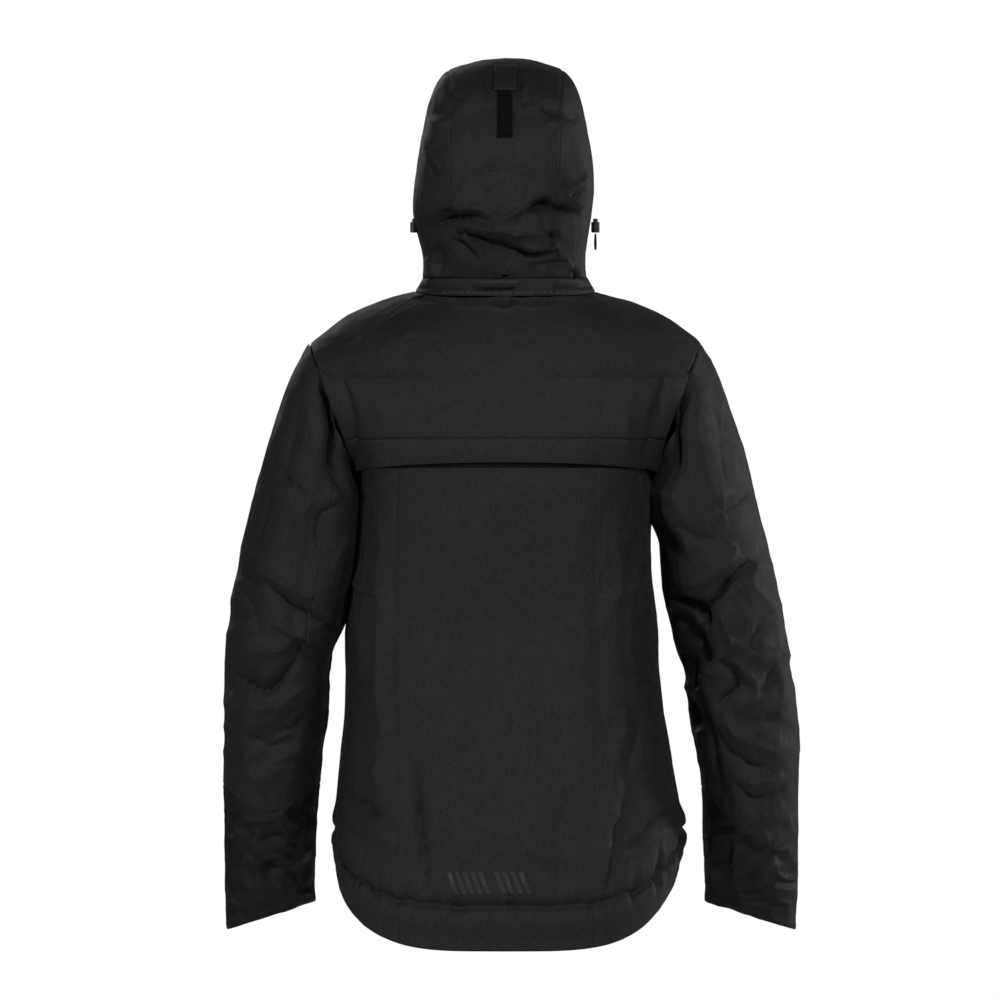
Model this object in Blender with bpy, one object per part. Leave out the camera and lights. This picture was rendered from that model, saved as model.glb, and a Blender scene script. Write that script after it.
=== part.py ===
"""A hooded hardshell jacket, worn length 1.01 m, as separate panels, zips, cords and adjusters.

Frame: +Z up, the front zip faces -Y, the back faces +Y, +X is the wearer's left.
The origin is at the base of the neck. Lengths are in metres.
"""

import math

import bpy
import numpy as np
from mathutils import Vector

# Driving sizes.
CLOTH = 0.0016          # thickness of a cloth panel
SEAM = 0.0005           # half the gap left at each seam
CURVED_SEAM = 0.0022    # the same where a panel curves two ways
BACK_SEAM_X = 0.112     # the side-back seams, from the centre line
ZIP_HALF = 0.0105       # half the width of the front zip with its tapes
HEM_Z = -0.672          # the front hem, where the zip starts
CHIN_Z = 0.032          # the top of the collar, where the zip ends
HEM_Y = -0.146          # the zip line at the hem
CHIN_Y = -0.106         # the zip line at the chin
VENT_PIVOT_Y = 0.115    # the vent flap's hinge line, on the chord of its curved stitch line
HOOD_PIVOT = (0.0, 0.079, 0.0135)   # the nape, where the hood folds back
CORD_R = 0.0011         # radius of the elastic cords
FOLDED = 0.0022         # thickness of a folded strap or tab
VENT_K = 11.0           # torso row of the vent's stitch line
VENT_LOW_K = 9.6        # torso row where the lower back panels end
TOP_K = 20.0            # torso row of the neck seam
MESH_REACH = math.radians(78)   # the vent's mesh goes this far round the back
FLAP_REACH = math.radians(68)   # and its flap this far
FLAP_STANDOFF = 0.003   # between the mesh and the flap
BAG_DEPTH = 0.007       # the pocket bags hang this far inside the front
BAG_THICK = 0.0024
LOOP_STRIP = (0.019, 0.052, 0.0016)     # width, length and thickness of the loop strip
TAB_WIDTH = 0.031       # the hook tab over it
TAB_SHIFT = 0.0015      # the tab is sewn a little off the centre line
TAB_ROWS = (4.0, 5.12)  # hood arches that the tab runs between
HANGER_CENTRE = (0.0085, 0.0872, 0.0070)
HANGER_SIZE = (0.052, 0.0018, 0.0095)
SLIDER = (0.009, 0.0030, 0.013)         # the front zip's slider: width, depth, length
PULLER = (0.006, 0.0018, 0.032)
POCKET_SLIDER = (0.0075, 0.0028, 0.011)
POCKET_PULLER = (0.005, 0.0016, 0.027)
POCKET_HALF = 0.085     # half the length of a pocket zip
EDGE = 0.0005           # bevel on the small hard parts
PARKED_Z = CHIN_Z - 0.012       # the front slider's place when the zip is closed

# Torso rows in mm, from the hem up:
# edge x, edge y, edge z, back y, back z, front z, width power, depth power.
TORSO = [
    (193, 0, -655, 148, -749, -672, 2.6, 2.6),
    (197, 0, -608, 150, -694, -622, 2.6, 2.6),
    (190, 0, -550, 146, -620, -560, 2.6, 2.6),
    (182, 0, -490, 140, -530, -495, 2.5, 2.5),
    (177, 0, -425, 134, -440, -425, 2.5, 2.5),
    (176, 0, -375, 132, -380, -372, 2.5, 2.5),
    (167, 0, -325, 134, -330, -318, 2.5, 2.5),
    (165, 0, -280, 138, -280, -270, 2.5, 2.5),
    (167, 0, -235, 141, -235, -225, 2.5, 2.5),
    (168, 0, -207, 142, -207, -198, 2.5, 2.4),
    (171.5, 43, -197, 142, -195, -186, 2.4, 1.6),
    (181.2, 74.5, -170.5, 140, -168, -165, 2.3, 1.2),
    (194.5, 86, -134, 135, -134, -142, 2.2, 1.1),
    (207.8, 74.5, -97.5, 126, -100, -118, 2.2, 1.2),
    (217.4, 43, -70.8, 118, -72, -103, 2.1, 1.5),
    (221, 0, -61, 113, -56, -94, 2.0, 2.0),
    (203, 0, -46, 108, -45, -87, 2.0, 2.0),
    (177, 0, -28, 102, -34, -80, 2.0, 2.0),
    (140, 0, -12, 95, -23, -73, 2.0, 2.0),
    (116, 0, -5, 90, -14, -67, 2.0, 2.0),
    (100, 0, -1, 84, -6, -60, 2.0, 2.0),
]

# Sleeve rings in mm: outer x, outer z, inner x, inner z, middle y, half depth.
SLEEVE = [
    (221, -61, 168, -207, 0, 86),
    (241, -98, 172, -236, -1, 87),
    (258, -147, 174, -266, -2, 86),
    (275, -198, 177, -300, -4, 84),
    (288, -249, 181, -333, -6, 82),
    (300, -299, 186, -364, -8, 80),
    (310, -350, 194, -398, -11, 77),
    (318, -405, 200, -432, -15, 74),
    (322, -450, 204, -468, -22, 71),
    (325, -500, 209, -508, -31, 68),
    (326, -545, 215, -545, -40, 65),
    (325, -590, 218, -587, -49, 62),
    (324, -640, 220, -630, -58, 59),
    (324, -685, 222, -668, -66, 56),
    (322, -724, 221, -692, -72, 52),
]
SLEEVE_START_K = 0.08   # leaves the armhole seam's gap
ELBOW_K = 7.0
CUFF_K = 14.0

# Hood arches in mm, from the brim over the crown to the nape:
# top y, top z, place along the collar seam, half width, place of the side seam on the arch.
HOOD = [
    (-128, 232, 0.00, 72, 0.42),
    (-100, 249, 0.12, 88, 0.31),
    (-60, 259.5, 0.24, 98, 0.26),
    (-15, 262, 0.35, 100.5, 0.25),
    (30, 252, 0.46, 99, 0.25),
    (68, 228, 0.56, 93, 0.27),
    (82, 200, 0.64, 86, 0.30),
    (96, 172, 0.71, 76, 0.38),
    (101, 135, 0.79, 62, 0.54),
    (99, 95, 0.87, 44, 0.76),
    (91, 50, 0.945, 22, 0.95),
    (80.5, 16, 1.00, 5, 0.95),
]
# Each arch's outline from its top to the collar: share of the half width, share of the height.
ARCH = [(0, 1), (0.25, 0.995), (0.46, 0.972), (0.64, 0.945), (0.76, 0.895), (0.85, 0.81),
        (0.92, 0.68), (0.98, 0.54), (1, 0.42), (0.98, 0.30), (0.945, 0.19), (0.92, 0.09),
        (0.93, 0)]
HOOD_LAST = 10.5        # the hood's centre panel stops here, just above the nape
HOOD_SIDE_LAST = 10.0    # the hood's side panels stop here
BRIM_K = 1.0            # the brim reaches back to this arch
HOOD_GAP = 0.0014       # between the collar and the hood

# The hood cord's loop in mm, from where it leaves the lock's foot to where it goes back in.
CORD_ROUTE = [(0, -2.6, -0.8), (0.4, -3.0, -6), (0.6, -2.9, -12), (0.2, -1.4, -17.2),
              (-0.2, 1.4, -17.4), (-0.4, 3.1, -12.2), (-0.2, 3.0, -6), (0, 2.6, -0.8)]

# Cap seam: share of the row's half width where the shoulder cap starts.
CAP_ROWS = [13, 14, 15, 16, 17, 18, 19, 20]
CAP_SHARE = [1.0, 0.86, 0.74, 0.735, 0.757, 0.84, 0.90, 0.88]

COLOURS = {
    "shell_cloth": ((0.018, 0.018, 0.019), 0.75, 0.0),
    "panel_cloth": ((0.009, 0.009, 0.010), 0.60, 0.0),
    "mesh_cloth": ((0.012, 0.012, 0.012), 0.95, 0.0),
    "loop_pile": ((0.006, 0.006, 0.006), 1.0, 0.0),
    "zip_tape": ((0.010, 0.010, 0.010), 0.45, 0.0),
    "zip_metal": ((0.030, 0.030, 0.032), 0.35, 0.9),
    "moulded": ((0.012, 0.012, 0.012), 0.50, 0.0),
    "cord": ((0.020, 0.020, 0.020), 0.85, 0.0),
}


def clear():
    for obj in list(bpy.data.objects):
        bpy.data.objects.remove(obj, do_unlink=True)


def materials():
    made = {}
    for name, (colour, rough, metal) in COLOURS.items():
        mat = bpy.data.materials.new(name)
        mat.use_nodes = True
        shader = mat.node_tree.nodes["Principled BSDF"]
        shader.inputs["Base Color"].default_value = (*colour, 1.0)
        shader.inputs["Roughness"].default_value = rough
        shader.inputs["Metallic"].default_value = metal
        made[name] = mat
    return made


def spline(table, k):
    """The table's row at a fractional place, on a smooth curve through its rows."""
    last = len(table) - 1
    i = int(min(max(math.floor(k), 0), last - 1))
    f = k - i
    rows = [np.array(table[min(max(i + d, 0), last)], float) for d in (-1, 0, 1, 2)]
    if i == 0:
        rows[0] = 2 * rows[1] - rows[2]
    if i == last - 1:
        rows[3] = 2 * rows[2] - rows[1]
    a = -rows[0] + 3 * rows[1] - 3 * rows[2] + rows[3]
    b = 2 * rows[0] - 5 * rows[1] + 4 * rows[2] - rows[3]
    c = rows[2] - rows[0]
    return 0.5 * (((a * f + b) * f + c) * f) + rows[1]


def zip_y(z):
    """The straight line that the front zip lies on."""
    return HEM_Y + (CHIN_Y - HEM_Y) * (z - HEM_Z) / (CHIN_Z - HEM_Z)


def ring_point(edge, centre, phi, width_power, depth_power):
    """A point of half a ring. phi is 0 at the centre line and 90 degrees at the side."""
    q = math.sin(phi)
    depth = max(1 - abs(q) ** width_power, 0.0) ** (1 / depth_power)
    drop = max(1 - q ** 4, 0.0) ** 0.6
    y = edge[1] + (centre[0] - edge[1]) * depth
    z = edge[2] + (centre[1] - edge[2]) * drop
    return np.array((edge[0] * q, y, z))


def torso(half, k, phi):
    row = spline(TORSO, k)
    xe, ya, ze, yb, zb, zf = row[:6] / 1000
    ya = max(ya, 0.0)
    centre = (yb, zb) if half > 0 else (zip_y(zf), zf)
    return ring_point((xe, half * ya, ze), centre, phi, row[6], row[7])


def collar(half, h, phi):
    """h is 0 at the neck seam and 1 at the collar's top."""
    low = torso(half, TOP_K, phi)
    top_centre = (0.079, 0.0135) if half > 0 else (CHIN_Y, CHIN_Z)
    high = ring_point((0.093, 0.0, 0.013), top_centre, phi, 2.2, 2.1)
    return low + (high - low) * h


def sleeve(side, k, theta):
    """theta is 0 on the outside of the arm, 90 degrees at the back and 180 inside."""
    xo, zo, xi, zi, yc, depth = spline(SLEEVE, k) / 1000
    across = math.cos(theta)
    x = (xo + xi) / 2 + across * (xo - xi) / 2
    z = (zo + zi) / 2 + across * (zo - zi) / 2
    return np.array((side * x, yc + depth * math.sin(theta), z))


def seam_place(g):
    """A point of the hood's bottom seam: 0 at the face opening, 1 at the nape."""
    turn = math.radians(145) * g
    front = math.radians(55)
    if turn < front:
        point = collar(-1, 1.0, math.radians(35) + turn)
    else:
        point = collar(1, 1.0, math.radians(145) - turn)
    return point + np.array((0, 0, HOOD_GAP))


def hood(k, t):
    """A point of arch k. t is 0 on the centre line and 1 on the collar seam."""
    y, z, g, width = spline(HOOD, k)[:4] / (1000, 1000, 1, 1000)
    low = seam_place(min(g, 1.0))
    reach = abs(t)
    across, height = spline(ARCH, reach * (len(ARCH) - 1))
    x = width * across + (low[0] - width * ARCH[-1][0]) * reach ** 3
    back = y + (low[1] - y) * reach ** 1.6
    return np.array((math.copysign(x, t), back, low[2] + (z - low[2]) * height))


def hood_seam_t(k):
    """Where arch k crosses the seam between the centre panel and a side panel."""
    return float(spline(HOOD, k)[4])


def margin(points, gap):
    """The share of a line through the points that the gap takes up."""
    length = np.linalg.norm(np.diff(np.array(points), axis=0), axis=1).sum()
    return min(gap / max(length, 1e-6), 0.3)


def grid_of(surface, nu, nv, closed, gap):
    """Points of the patch, with its edges drawn back by the gap."""
    steps = np.linspace(0, 1, 13)
    us = np.linspace(0, 1, nu + 1)
    vs = np.linspace(0, 1, nv + 1)
    if closed:
        us = us[:-1]
        side = [0.0] * len(vs)
    else:
        side = [margin([surface(s, v) for s in steps], gap) for v in vs]
    end = [margin([surface(u, s) for s in steps], gap) for u in us]
    return np.array([[surface(mu + u * (1 - 2 * mu), mv + v * (1 - 2 * mv))
                      for u, mv in zip(us, end)] for v, mu in zip(vs, side)])


def normals_of(points, closed, middle):
    if closed:
        du = np.roll(points, -1, axis=1) - np.roll(points, 1, axis=1)
    else:
        du = np.gradient(points, axis=1, edge_order=2)
    dv = np.gradient(points, axis=0, edge_order=2)
    normal = np.cross(du, dv)
    normal /= np.maximum(np.linalg.norm(normal, axis=2, keepdims=True), 1e-12)
    outward = points - middle(points)
    if (normal * outward).sum() < 0:
        normal = -normal
    return normal


def make_mesh(name, points, faces, mat):
    mesh = bpy.data.meshes.new(name)
    mesh.from_pydata([tuple(p) for p in points], [], faces)
    mesh.validate()
    mesh.update()
    mesh.materials.append(mat)
    obj = bpy.data.objects.new(name, mesh)
    bpy.context.scene.collection.objects.link(obj)
    turn_outward(obj)
    return obj


def turn_outward(obj):
    """Turns every face round if the closed mesh holds a negative volume."""
    mesh = obj.data
    total = 0.0
    for poly in mesh.polygons:
        corners = [mesh.vertices[i].co for i in poly.vertices]
        for i in range(1, len(corners) - 1):
            total += corners[0].dot(corners[i].cross(corners[i + 1]))
    if total < 0:
        mesh.flip_normals()


def panel(name, surface, nu, nv, mat, middle, base=-CLOTH, thick=CLOTH, closed=False, gap=SEAM):
    """A closed thin shell on a patch: its inner side at base, its outer side at base + thick."""
    points = grid_of(surface, nu, nv, closed, gap)
    normal = normals_of(points, closed, middle)
    outer = points + normal * (base + thick)
    inner = points + normal * base
    rows, cols = points.shape[:2]
    verts = np.concatenate([outer.reshape(-1, 3), inner.reshape(-1, 3)])
    under = rows * cols
    faces = []
    spans = cols if closed else cols - 1
    for i in range(rows - 1):
        for j in range(spans):
            a = i * cols + j
            b = i * cols + (j + 1) % cols
            c = b + cols
            d = a + cols
            faces.append((a, b, c, d))
            faces.append((a + under, d + under, c + under, b + under))
    for i in (0, rows - 1):
        for j in range(spans):
            a = i * cols + j
            b = i * cols + (j + 1) % cols
            wall = (a, a + under, b + under, b)
            faces.append(wall if i == 0 else wall[::-1])
    if not closed:
        for j in (0, cols - 1):
            for i in range(rows - 1):
                a = i * cols + j
                b = a + cols
                wall = (a, b, b + under, a + under)
                faces.append(wall if j == 0 else wall[::-1])
    return make_mesh(name, verts, faces, mat)


def torso_middle(points):
    mid = points.copy()
    mid[..., 0] = 0
    mid[..., 1] = 0
    return mid


def shoulder_middle(points):
    mid = points.copy()
    mid[..., 0] *= 0.6
    mid[..., 1] = 0
    mid[..., 2] = -0.16
    return mid


def hood_middle(points):
    mid = points.copy()
    mid[..., 0] = 0
    mid[..., 1] = -0.02
    mid[..., 2] = 0.11
    return mid


def arm_middle(side):
    def middle(points):
        mid = points.copy()
        mid[..., 0] = side * (0.20 + 0.07 * np.clip(-(points[..., 2] + 0.13) / 0.4, 0, 1))
        mid[..., 1] = -0.01 - 0.06 * np.clip(-(points[..., 2] + 0.4) / 0.3, 0, 1)
        return mid
    return middle


def mix(a, b, f):
    return a + (b - a) * f


def cap_edge(k):
    return math.asin(float(np.interp(k, CAP_ROWS, CAP_SHARE)))


def edge_phi(k):
    return cap_edge(k) if k > CAP_ROWS[0] else math.pi / 2


def row_phi(x, k):
    return math.asin(min(1.0, x / (spline(TORSO, k)[0] / 1000)))


def block(name, centre, size, mat, axes=None, bevel=0.0):
    """A box with its own axes, given as three rows, and small bevels."""
    half = np.array(size) / 2
    cut = min(bevel, 0.45 * min(size))
    rings = []
    for z, inset in ((-half[2], cut), (-half[2] + cut, 0), (half[2] - cut, 0), (half[2], cut)):
        x = half[0] - inset
        y = half[1] - inset
        c = min(cut, 0.6 * min(x, y))
        rings.append([(x, -y + c, z), (x, y - c, z), (x - c, y, z), (-x + c, y, z),
                      (-x, y - c, z), (-x, -y + c, z), (-x + c, -y, z), (x - c, -y, z)])
    turn = np.eye(3) if axes is None else np.array(axes, float)
    verts = np.array([p for ring in rings for p in ring]) @ turn + np.array(centre)
    faces = [tuple(range(7, -1, -1)), tuple(range(24, 32))]
    for i in range(3):
        for j in range(8):
            a = i * 8 + j
            b = i * 8 + (j + 1) % 8
            faces.append((a, b, b + 8, a + 8))
    return make_mesh(name, verts, faces, mat)


def lathe(name, profile, foot, axis, mat, segments=12):
    """A turned body: the profile is (radius, height) pairs from the axis back to the axis."""
    axis = Vector(axis).normalized()
    side = axis.orthogonal().normalized()
    other = axis.cross(side)
    foot = Vector(foot)
    verts = []
    rows = []
    for r, h in profile:
        if r == 0:
            rows.append([len(verts)])
            verts.append(foot + axis * h)
            continue
        rows.append(list(range(len(verts), len(verts) + segments)))
        for i in range(segments):
            a = 2 * math.pi * i / segments
            verts.append(foot + axis * h + (side * math.cos(a) + other * math.sin(a)) * r)
    faces = []
    for low, high in zip(rows, rows[1:]):
        for i in range(segments):
            j = (i + 1) % segments
            if len(low) == 1:
                faces.append((low[0], high[i], high[j]))
            elif len(high) == 1:
                faces.append((low[i], high[0], low[j]))
            else:
                faces.append((low[i], high[i], high[j], low[j]))
    return make_mesh(name, verts, faces, mat)


def cord(name, points, mat):
    """A closed tube along the points."""
    curve = bpy.data.curves.new(name, "CURVE")
    curve.dimensions = "3D"
    curve.bevel_depth = CORD_R
    curve.bevel_resolution = 2
    curve.use_fill_caps = True
    line = curve.splines.new("POLY")
    line.points.add(len(points) - 1)
    for point, place in zip(line.points, points):
        point.co = (*place, 1.0)
    curve.materials.append(mat)
    obj = bpy.data.objects.new(name, curve)
    bpy.context.scene.collection.objects.link(obj)
    return obj


def smooth_route(route, step=0.003):
    """Even points along a smooth curve through the route's own points."""
    fine = np.array([spline(route, k) for k in np.linspace(0, len(route) - 1, 200)])
    run = np.concatenate([[0], np.cumsum(np.linalg.norm(np.diff(fine, axis=0), axis=1))])
    marks = np.linspace(0, run[-1], int(run[-1] / step) + 1)
    return np.array([np.interp(marks, run, fine[:, i]) for i in range(3)]).T


def ride(joint, place, *objects):
    """Hangs the objects, and any hubs of their own pieces, on an empty on the joint's axis."""
    hub = bpy.data.objects.new("joint_" + joint, None)
    hub.empty_display_size = 0.02
    hub.location = Vector([float(c) for c in place])
    bpy.context.scene.collection.objects.link(hub)
    bpy.context.view_layer.update()
    for obj in objects:
        obj.parent = hub
        obj.matrix_parent_inverse = hub.matrix_world.inverted()
    return hub


def make_torso(m):
    cloth = m["shell_cloth"]

    def back(u, v):
        k = mix(1.0, VENT_LOW_K, v)
        limit = row_phi(BACK_SEAM_X, k)
        return torso(1, k, mix(-limit, limit, u))

    panel("back_panel", back, 6, 10, cloth, torso_middle)

    for side, tag in ((1, "L"), (-1, "R")):
        def side_back(u, v):
            k = mix(1.0, VENT_LOW_K, v)
            return torso(1, k, side * mix(row_phi(BACK_SEAM_X, k), math.pi / 2, u))

        def front(u, v):
            k = mix(1.0, TOP_K, v)
            return torso(-1, k, side * mix(row_phi(ZIP_HALF, k), edge_phi(k), u))

        def hem_front(u, v):
            k = mix(0.0, 1.0, v)
            return torso(-1, k, side * mix(row_phi(ZIP_HALF, k), math.pi / 2, u))

        def cap(u, v):
            kb = mix(TOP_K, CAP_ROWS[0], v)
            kr = mix(TOP_K, 15.0, v)
            across = abs(2 * u - 1)
            half = -1 if u < 0.5 else 1
            phi = mix(math.pi / 2, cap_edge(kb), across)
            return torso(half, mix(kr, kb, across), side * phi)

        panel("side_back_" + tag, side_back, 5, 10, cloth, torso_middle)
        panel("front_panel_" + tag, front, 9, 19, cloth, torso_middle)
        panel("hem_front_" + tag, hem_front, 9, 2, cloth, torso_middle)
        panel("shoulder_cap_" + tag, cap, 8, 7, cloth, shoulder_middle, gap=CURVED_SEAM)

    def yoke(u, v):
        k = mix(VENT_K, TOP_K, v)
        limit = edge_phi(k)
        return torso(1, k, mix(-limit, limit, u))

    def mesh(u, v):
        k = mix(VENT_LOW_K, VENT_K, v)
        return torso(1, k, mix(-MESH_REACH, MESH_REACH, u))

    def hem_back(u, v):
        return torso(1, mix(0.0, 1.0, v), mix(-math.pi / 2, math.pi / 2, u))

    panel("back_yoke", yoke, 12, 9, cloth, shoulder_middle)
    panel("vent_mesh", mesh, 12, 3, m["mesh_cloth"], torso_middle, gap=CURVED_SEAM)
    panel("hem_back", hem_back, 16, 2, cloth, torso_middle)


def vent_edge(u):
    """Torso row of the flap's free edge, which dips at both sides."""
    return 9.95 - 0.55 * abs(2 * u - 1) ** 1.5


def make_vent_flap(m):
    def flap(u, v):
        k = mix(vent_edge(u), VENT_K, v)
        return torso(1, k, mix(-FLAP_REACH, FLAP_REACH, u))

    obj = panel("vent_flap", flap, 12, 2, m["shell_cloth"], torso_middle, base=FLAP_STANDOFF)
    top = torso(1, VENT_K, 0)
    ride("vent_lift", (0, VENT_PIVOT_Y, top[2]), obj)


def make_collar(m):
    cloth = m["shell_cloth"]

    def back(u, v):
        return collar(1, v, mix(-math.pi / 2, math.pi / 2, u))

    panel("collar_back", back, 12, 2, cloth, torso_middle)
    for side, tag in ((1, "L"), (-1, "R")):
        def chin(u, v):
            start = math.asin(ZIP_HALF / mix(0.1, 0.093, v))
            return collar(-1, v, side * mix(start, math.pi / 2, u))

        panel("chin_panel_" + tag, chin, 8, 4, cloth, torso_middle)


def make_hood(m):
    cloth = m["shell_cloth"]
    def centre(u, v):
        k = mix(BRIM_K, HOOD_LAST, v)
        return hood(k, (2 * u - 1) * hood_seam_t(k))

    def brim(u, v):
        k = mix(0.0, BRIM_K, v)
        return hood(k, (2 * u - 1) * hood_seam_t(k))

    parts = [
        panel("hood_centre", centre, 6, 19, cloth, hood_middle),
        panel("hood_brim", brim, 6, 2, cloth, hood_middle),
    ]
    for side, tag in ((1, "L"), (-1, "R")):
        def wall(u, v):
            k = mix(0.0, HOOD_SIDE_LAST, v)
            point = hood(k, mix(hood_seam_t(k), 1.0, u))
            point[0] *= side
            return point

        parts.append(panel("hood_side_" + tag, wall, 7, 20, cloth, hood_middle, gap=HOOD_GAP))
        parts += make_hood_lock(m, side, tag)
    parts.append(make_loop_field(m))
    parts.append(make_hood_tab(m))
    ride("hood_fold", HOOD_PIVOT, *parts)


def hood_axes(k):
    """Across, down the profile and out of the hood, at arch k on the centre line."""
    down = hood(k + 0.5, 0) - hood(k - 0.5, 0)
    down /= np.linalg.norm(down)
    across = np.array((1.0, 0, 0))
    out = np.cross(down, across)
    if out[1] < 0:
        out = -out
    return across, down, out


def make_loop_field(m):
    """The flat strip of loop pile that the hood tab sticks to."""
    across, down, out = hood_axes(6.0)
    centre = (hood(5.15, 0) + hood(6.95, 0)) / 2 + out * 0.0026
    return block("hood_loop_field", centre, LOOP_STRIP, m["loop_pile"], (across, down, out))


def make_hood_tab(m):
    """The hook tab sewn at the crown, which lies on the loop strip's upper end."""
    def tab(u, v):
        y, z = hood(mix(*TAB_ROWS, v), 0)[1:]
        return np.array(((u - 0.5) * TAB_WIDTH + TAB_SHIFT, y, z))

    base = 0.0012
    obj = panel("hood_tab", tab, 2, 6, m["shell_cloth"], hood_middle, base=base, thick=FOLDED)
    return ride("hood_tab_peel", hood(TAB_ROWS[0], 0) + np.array((0, 0, base)), obj)


def lock_parts(m, name, foot, axis):
    """A push-button cord lock: a cup, and the hub of the plunger that slides in it."""
    cup = [(0, 0), (0.0042, 0), (0.0050, 0.0010), (0.0050, 0.0115), (0.0045, 0.012),
           (0.0034, 0.012), (0.0034, 0.0035), (0, 0.0035)]
    plunger = [(0, 0.0070), (0.0028, 0.0070), (0.0028, 0.0150), (0.0022, 0.0158), (0, 0.0158)]
    body = lathe(name + "_lock", cup, foot, axis, m["moulded"])
    button = lathe(name + "_button", plunger, foot, axis, m["moulded"])
    return body, ride(name + "_push", foot, button)


def make_hood_lock(m, side, tag):
    place = hood(3.6, 0.80)
    place[0] *= side
    foot = place + np.array((side * 0.0065, 0, -0.006))
    lock, button = lock_parts(m, "hood_" + tag, foot, (0, 0, 1))
    if side > 0:
        return [lock, button]
    loop = cord("hood_cord_R", smooth_route(foot + np.array(CORD_ROUTE) / 1000), m["cord"])
    return [lock, button, loop]


def make_hanger_loop(m):
    obj = block("hanger_loop", HANGER_CENTRE, HANGER_SIZE, m["shell_cloth"], None, EDGE)
    x, y, z = HANGER_CENTRE
    ride("hanger_flip", (x, y, z + HANGER_SIZE[2] / 2), obj)


def make_sleeve(m, side, tag):
    cloth = m["shell_cloth"]
    dark = m["panel_cloth"]
    mid = arm_middle(side)
    wide = math.radians(145)

    def upper(u, v):
        return sleeve(side, mix(SLEEVE_START_K, ELBOW_K, v), mix(-wide, wide, u))

    def under(u, v):
        return sleeve(side, mix(SLEEVE_START_K, ELBOW_K, v), mix(wide, 2 * math.pi - wide, u))

    def seam_k(theta):
        return 10.4 + 0.6 * max(0.0, math.sin(theta))

    def fore(u, v):
        theta = 2 * math.pi * u
        return sleeve(side, mix(ELBOW_K, seam_k(theta), v), theta)

    def cuff(u, v):
        theta = 2 * math.pi * u
        return sleeve(side, mix(seam_k(theta), CUFF_K, v), theta)

    def tab(u, v):
        theta = math.radians(mix(-100, -25, u))
        return sleeve(side, mix(12.9, 13.6, v), theta)

    up = panel("upper_sleeve_" + tag, upper, 14, 7, cloth, mid)
    low = panel("underarm_panel_" + tag, under, 4, 7, cloth, mid)
    elbow = panel("forearm_" + tag, fore, 18, 4, cloth, mid, closed=True)
    end = panel("cuff_" + tag, cuff, 18, 3, dark, mid, closed=True)
    strap = panel("cuff_tab_" + tag, tab, 6, 2, cloth, mid, base=0.001, thick=0.002, gap=0.0)
    tab_hub = ride("cuff_tab_" + tag, tab_pivot(side), strap)
    elbow_hub = ride("elbow_" + tag, elbow_pivot(side), elbow, end, tab_hub)
    ride("shoulder_" + tag, shoulder_pivot(side), up, low, elbow_hub)


def shoulder_pivot(side):
    return (side * 0.2222, 0.0, -0.0602)


def elbow_pivot(side):
    point = sleeve(side, ELBOW_K, math.radians(270))
    return point + np.array((0, -0.0006, 0))


def tab_pivot(side):
    return sleeve(side, 13.25, math.radians(-25)) + np.array((side * 0.002, -0.001, 0))


def zip_axes():
    """Across, out of the front and up the zip line."""
    up = np.array((0, CHIN_Y - HEM_Y, CHIN_Z - HEM_Z))
    up /= np.linalg.norm(up)
    across = np.array((1.0, 0, 0))
    return across, np.cross(across, up), up


def zip_point(z, out=0.0):
    return np.array((0, zip_y(z), z)) + zip_axes()[1] * out


def extrude(name, outline, low, high, axes, mat):
    """A straight bar: the outline is (across, out) pairs."""
    across, out, _ = axes
    verts = []
    for end in (low, high):
        for a, b in outline:
            verts.append(end + across * a + out * b)
    count = len(outline)
    faces = [tuple(range(count - 1, -1, -1)), tuple(range(count, 2 * count))]
    for i in range(count):
        j = (i + 1) % count
        faces.append((i, j, j + count, i + count))
    return make_mesh(name, verts, faces, mat)


def make_front_zip(m):
    axes = zip_axes()
    low = zip_point(HEM_Z + 0.004)
    high = zip_point(CHIN_Z - 0.001)
    for side, tag in ((1, "L"), (-1, "R")):
        outline = [(side * x, y) for x, y in (
            (0.0004, -0.0020), (0.0096, -0.0020), (0.0096, -0.0006), (0.0036, -0.0006),
            (0.0030, 0.0008), (0.0010, 0.0008), (0.0004, 0.0002))]
        extrude("zip_tape_" + tag, outline, low, high, axes, m["zip_tape"])
    rows = (axes[0], axes[1], axes[2])
    block("zip_box", zip_point(HEM_Z + 0.0005, -0.0005), (0.010, 0.004, 0.005),
          m["zip_metal"], rows, EDGE)
    flap = [(-0.014, -0.0049), (0.014, -0.0049), (0.014, -0.0035), (-0.014, -0.0035)]
    extrude("storm_flap", flap, zip_point(HEM_Z + 0.004), zip_point(CHIN_Z - 0.001), axes,
            m["panel_cloth"])
    body = block("zip_slider", zip_point(PARKED_Z, 0.0030), SLIDER, m["zip_metal"], rows, EDGE)
    tag_centre = zip_point(PARKED_Z - 0.0245, 0.0036)
    pull = block("zip_puller", tag_centre, PULLER, m["moulded"], rows, EDGE)
    ride("zip_slide", zip_point(PARKED_Z, 0.0030), body, ride("zip_puller", puller_pivot(), pull))


def puller_pivot():
    return zip_point(PARKED_Z - 0.0080, 0.0036)


def pocket_frame(side):
    """Middle, and across, out and up axes, of a hand pocket's straight zip."""
    high = torso(-1, 6.4, side * math.radians(38))
    low = torso(-1, 3.4, side * math.radians(52))
    up = high - low
    up /= np.linalg.norm(up)
    mid = (high + low) / 2
    near = torso(-1, 4.9, side * math.radians(45))
    du = torso(-1, 4.9, side * math.radians(46)) - near
    out = np.cross(du, up)
    out /= np.linalg.norm(out)
    if out[1] > 0:
        out = -out
    across = np.cross(out, up)
    return mid, across, out, up, near


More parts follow.
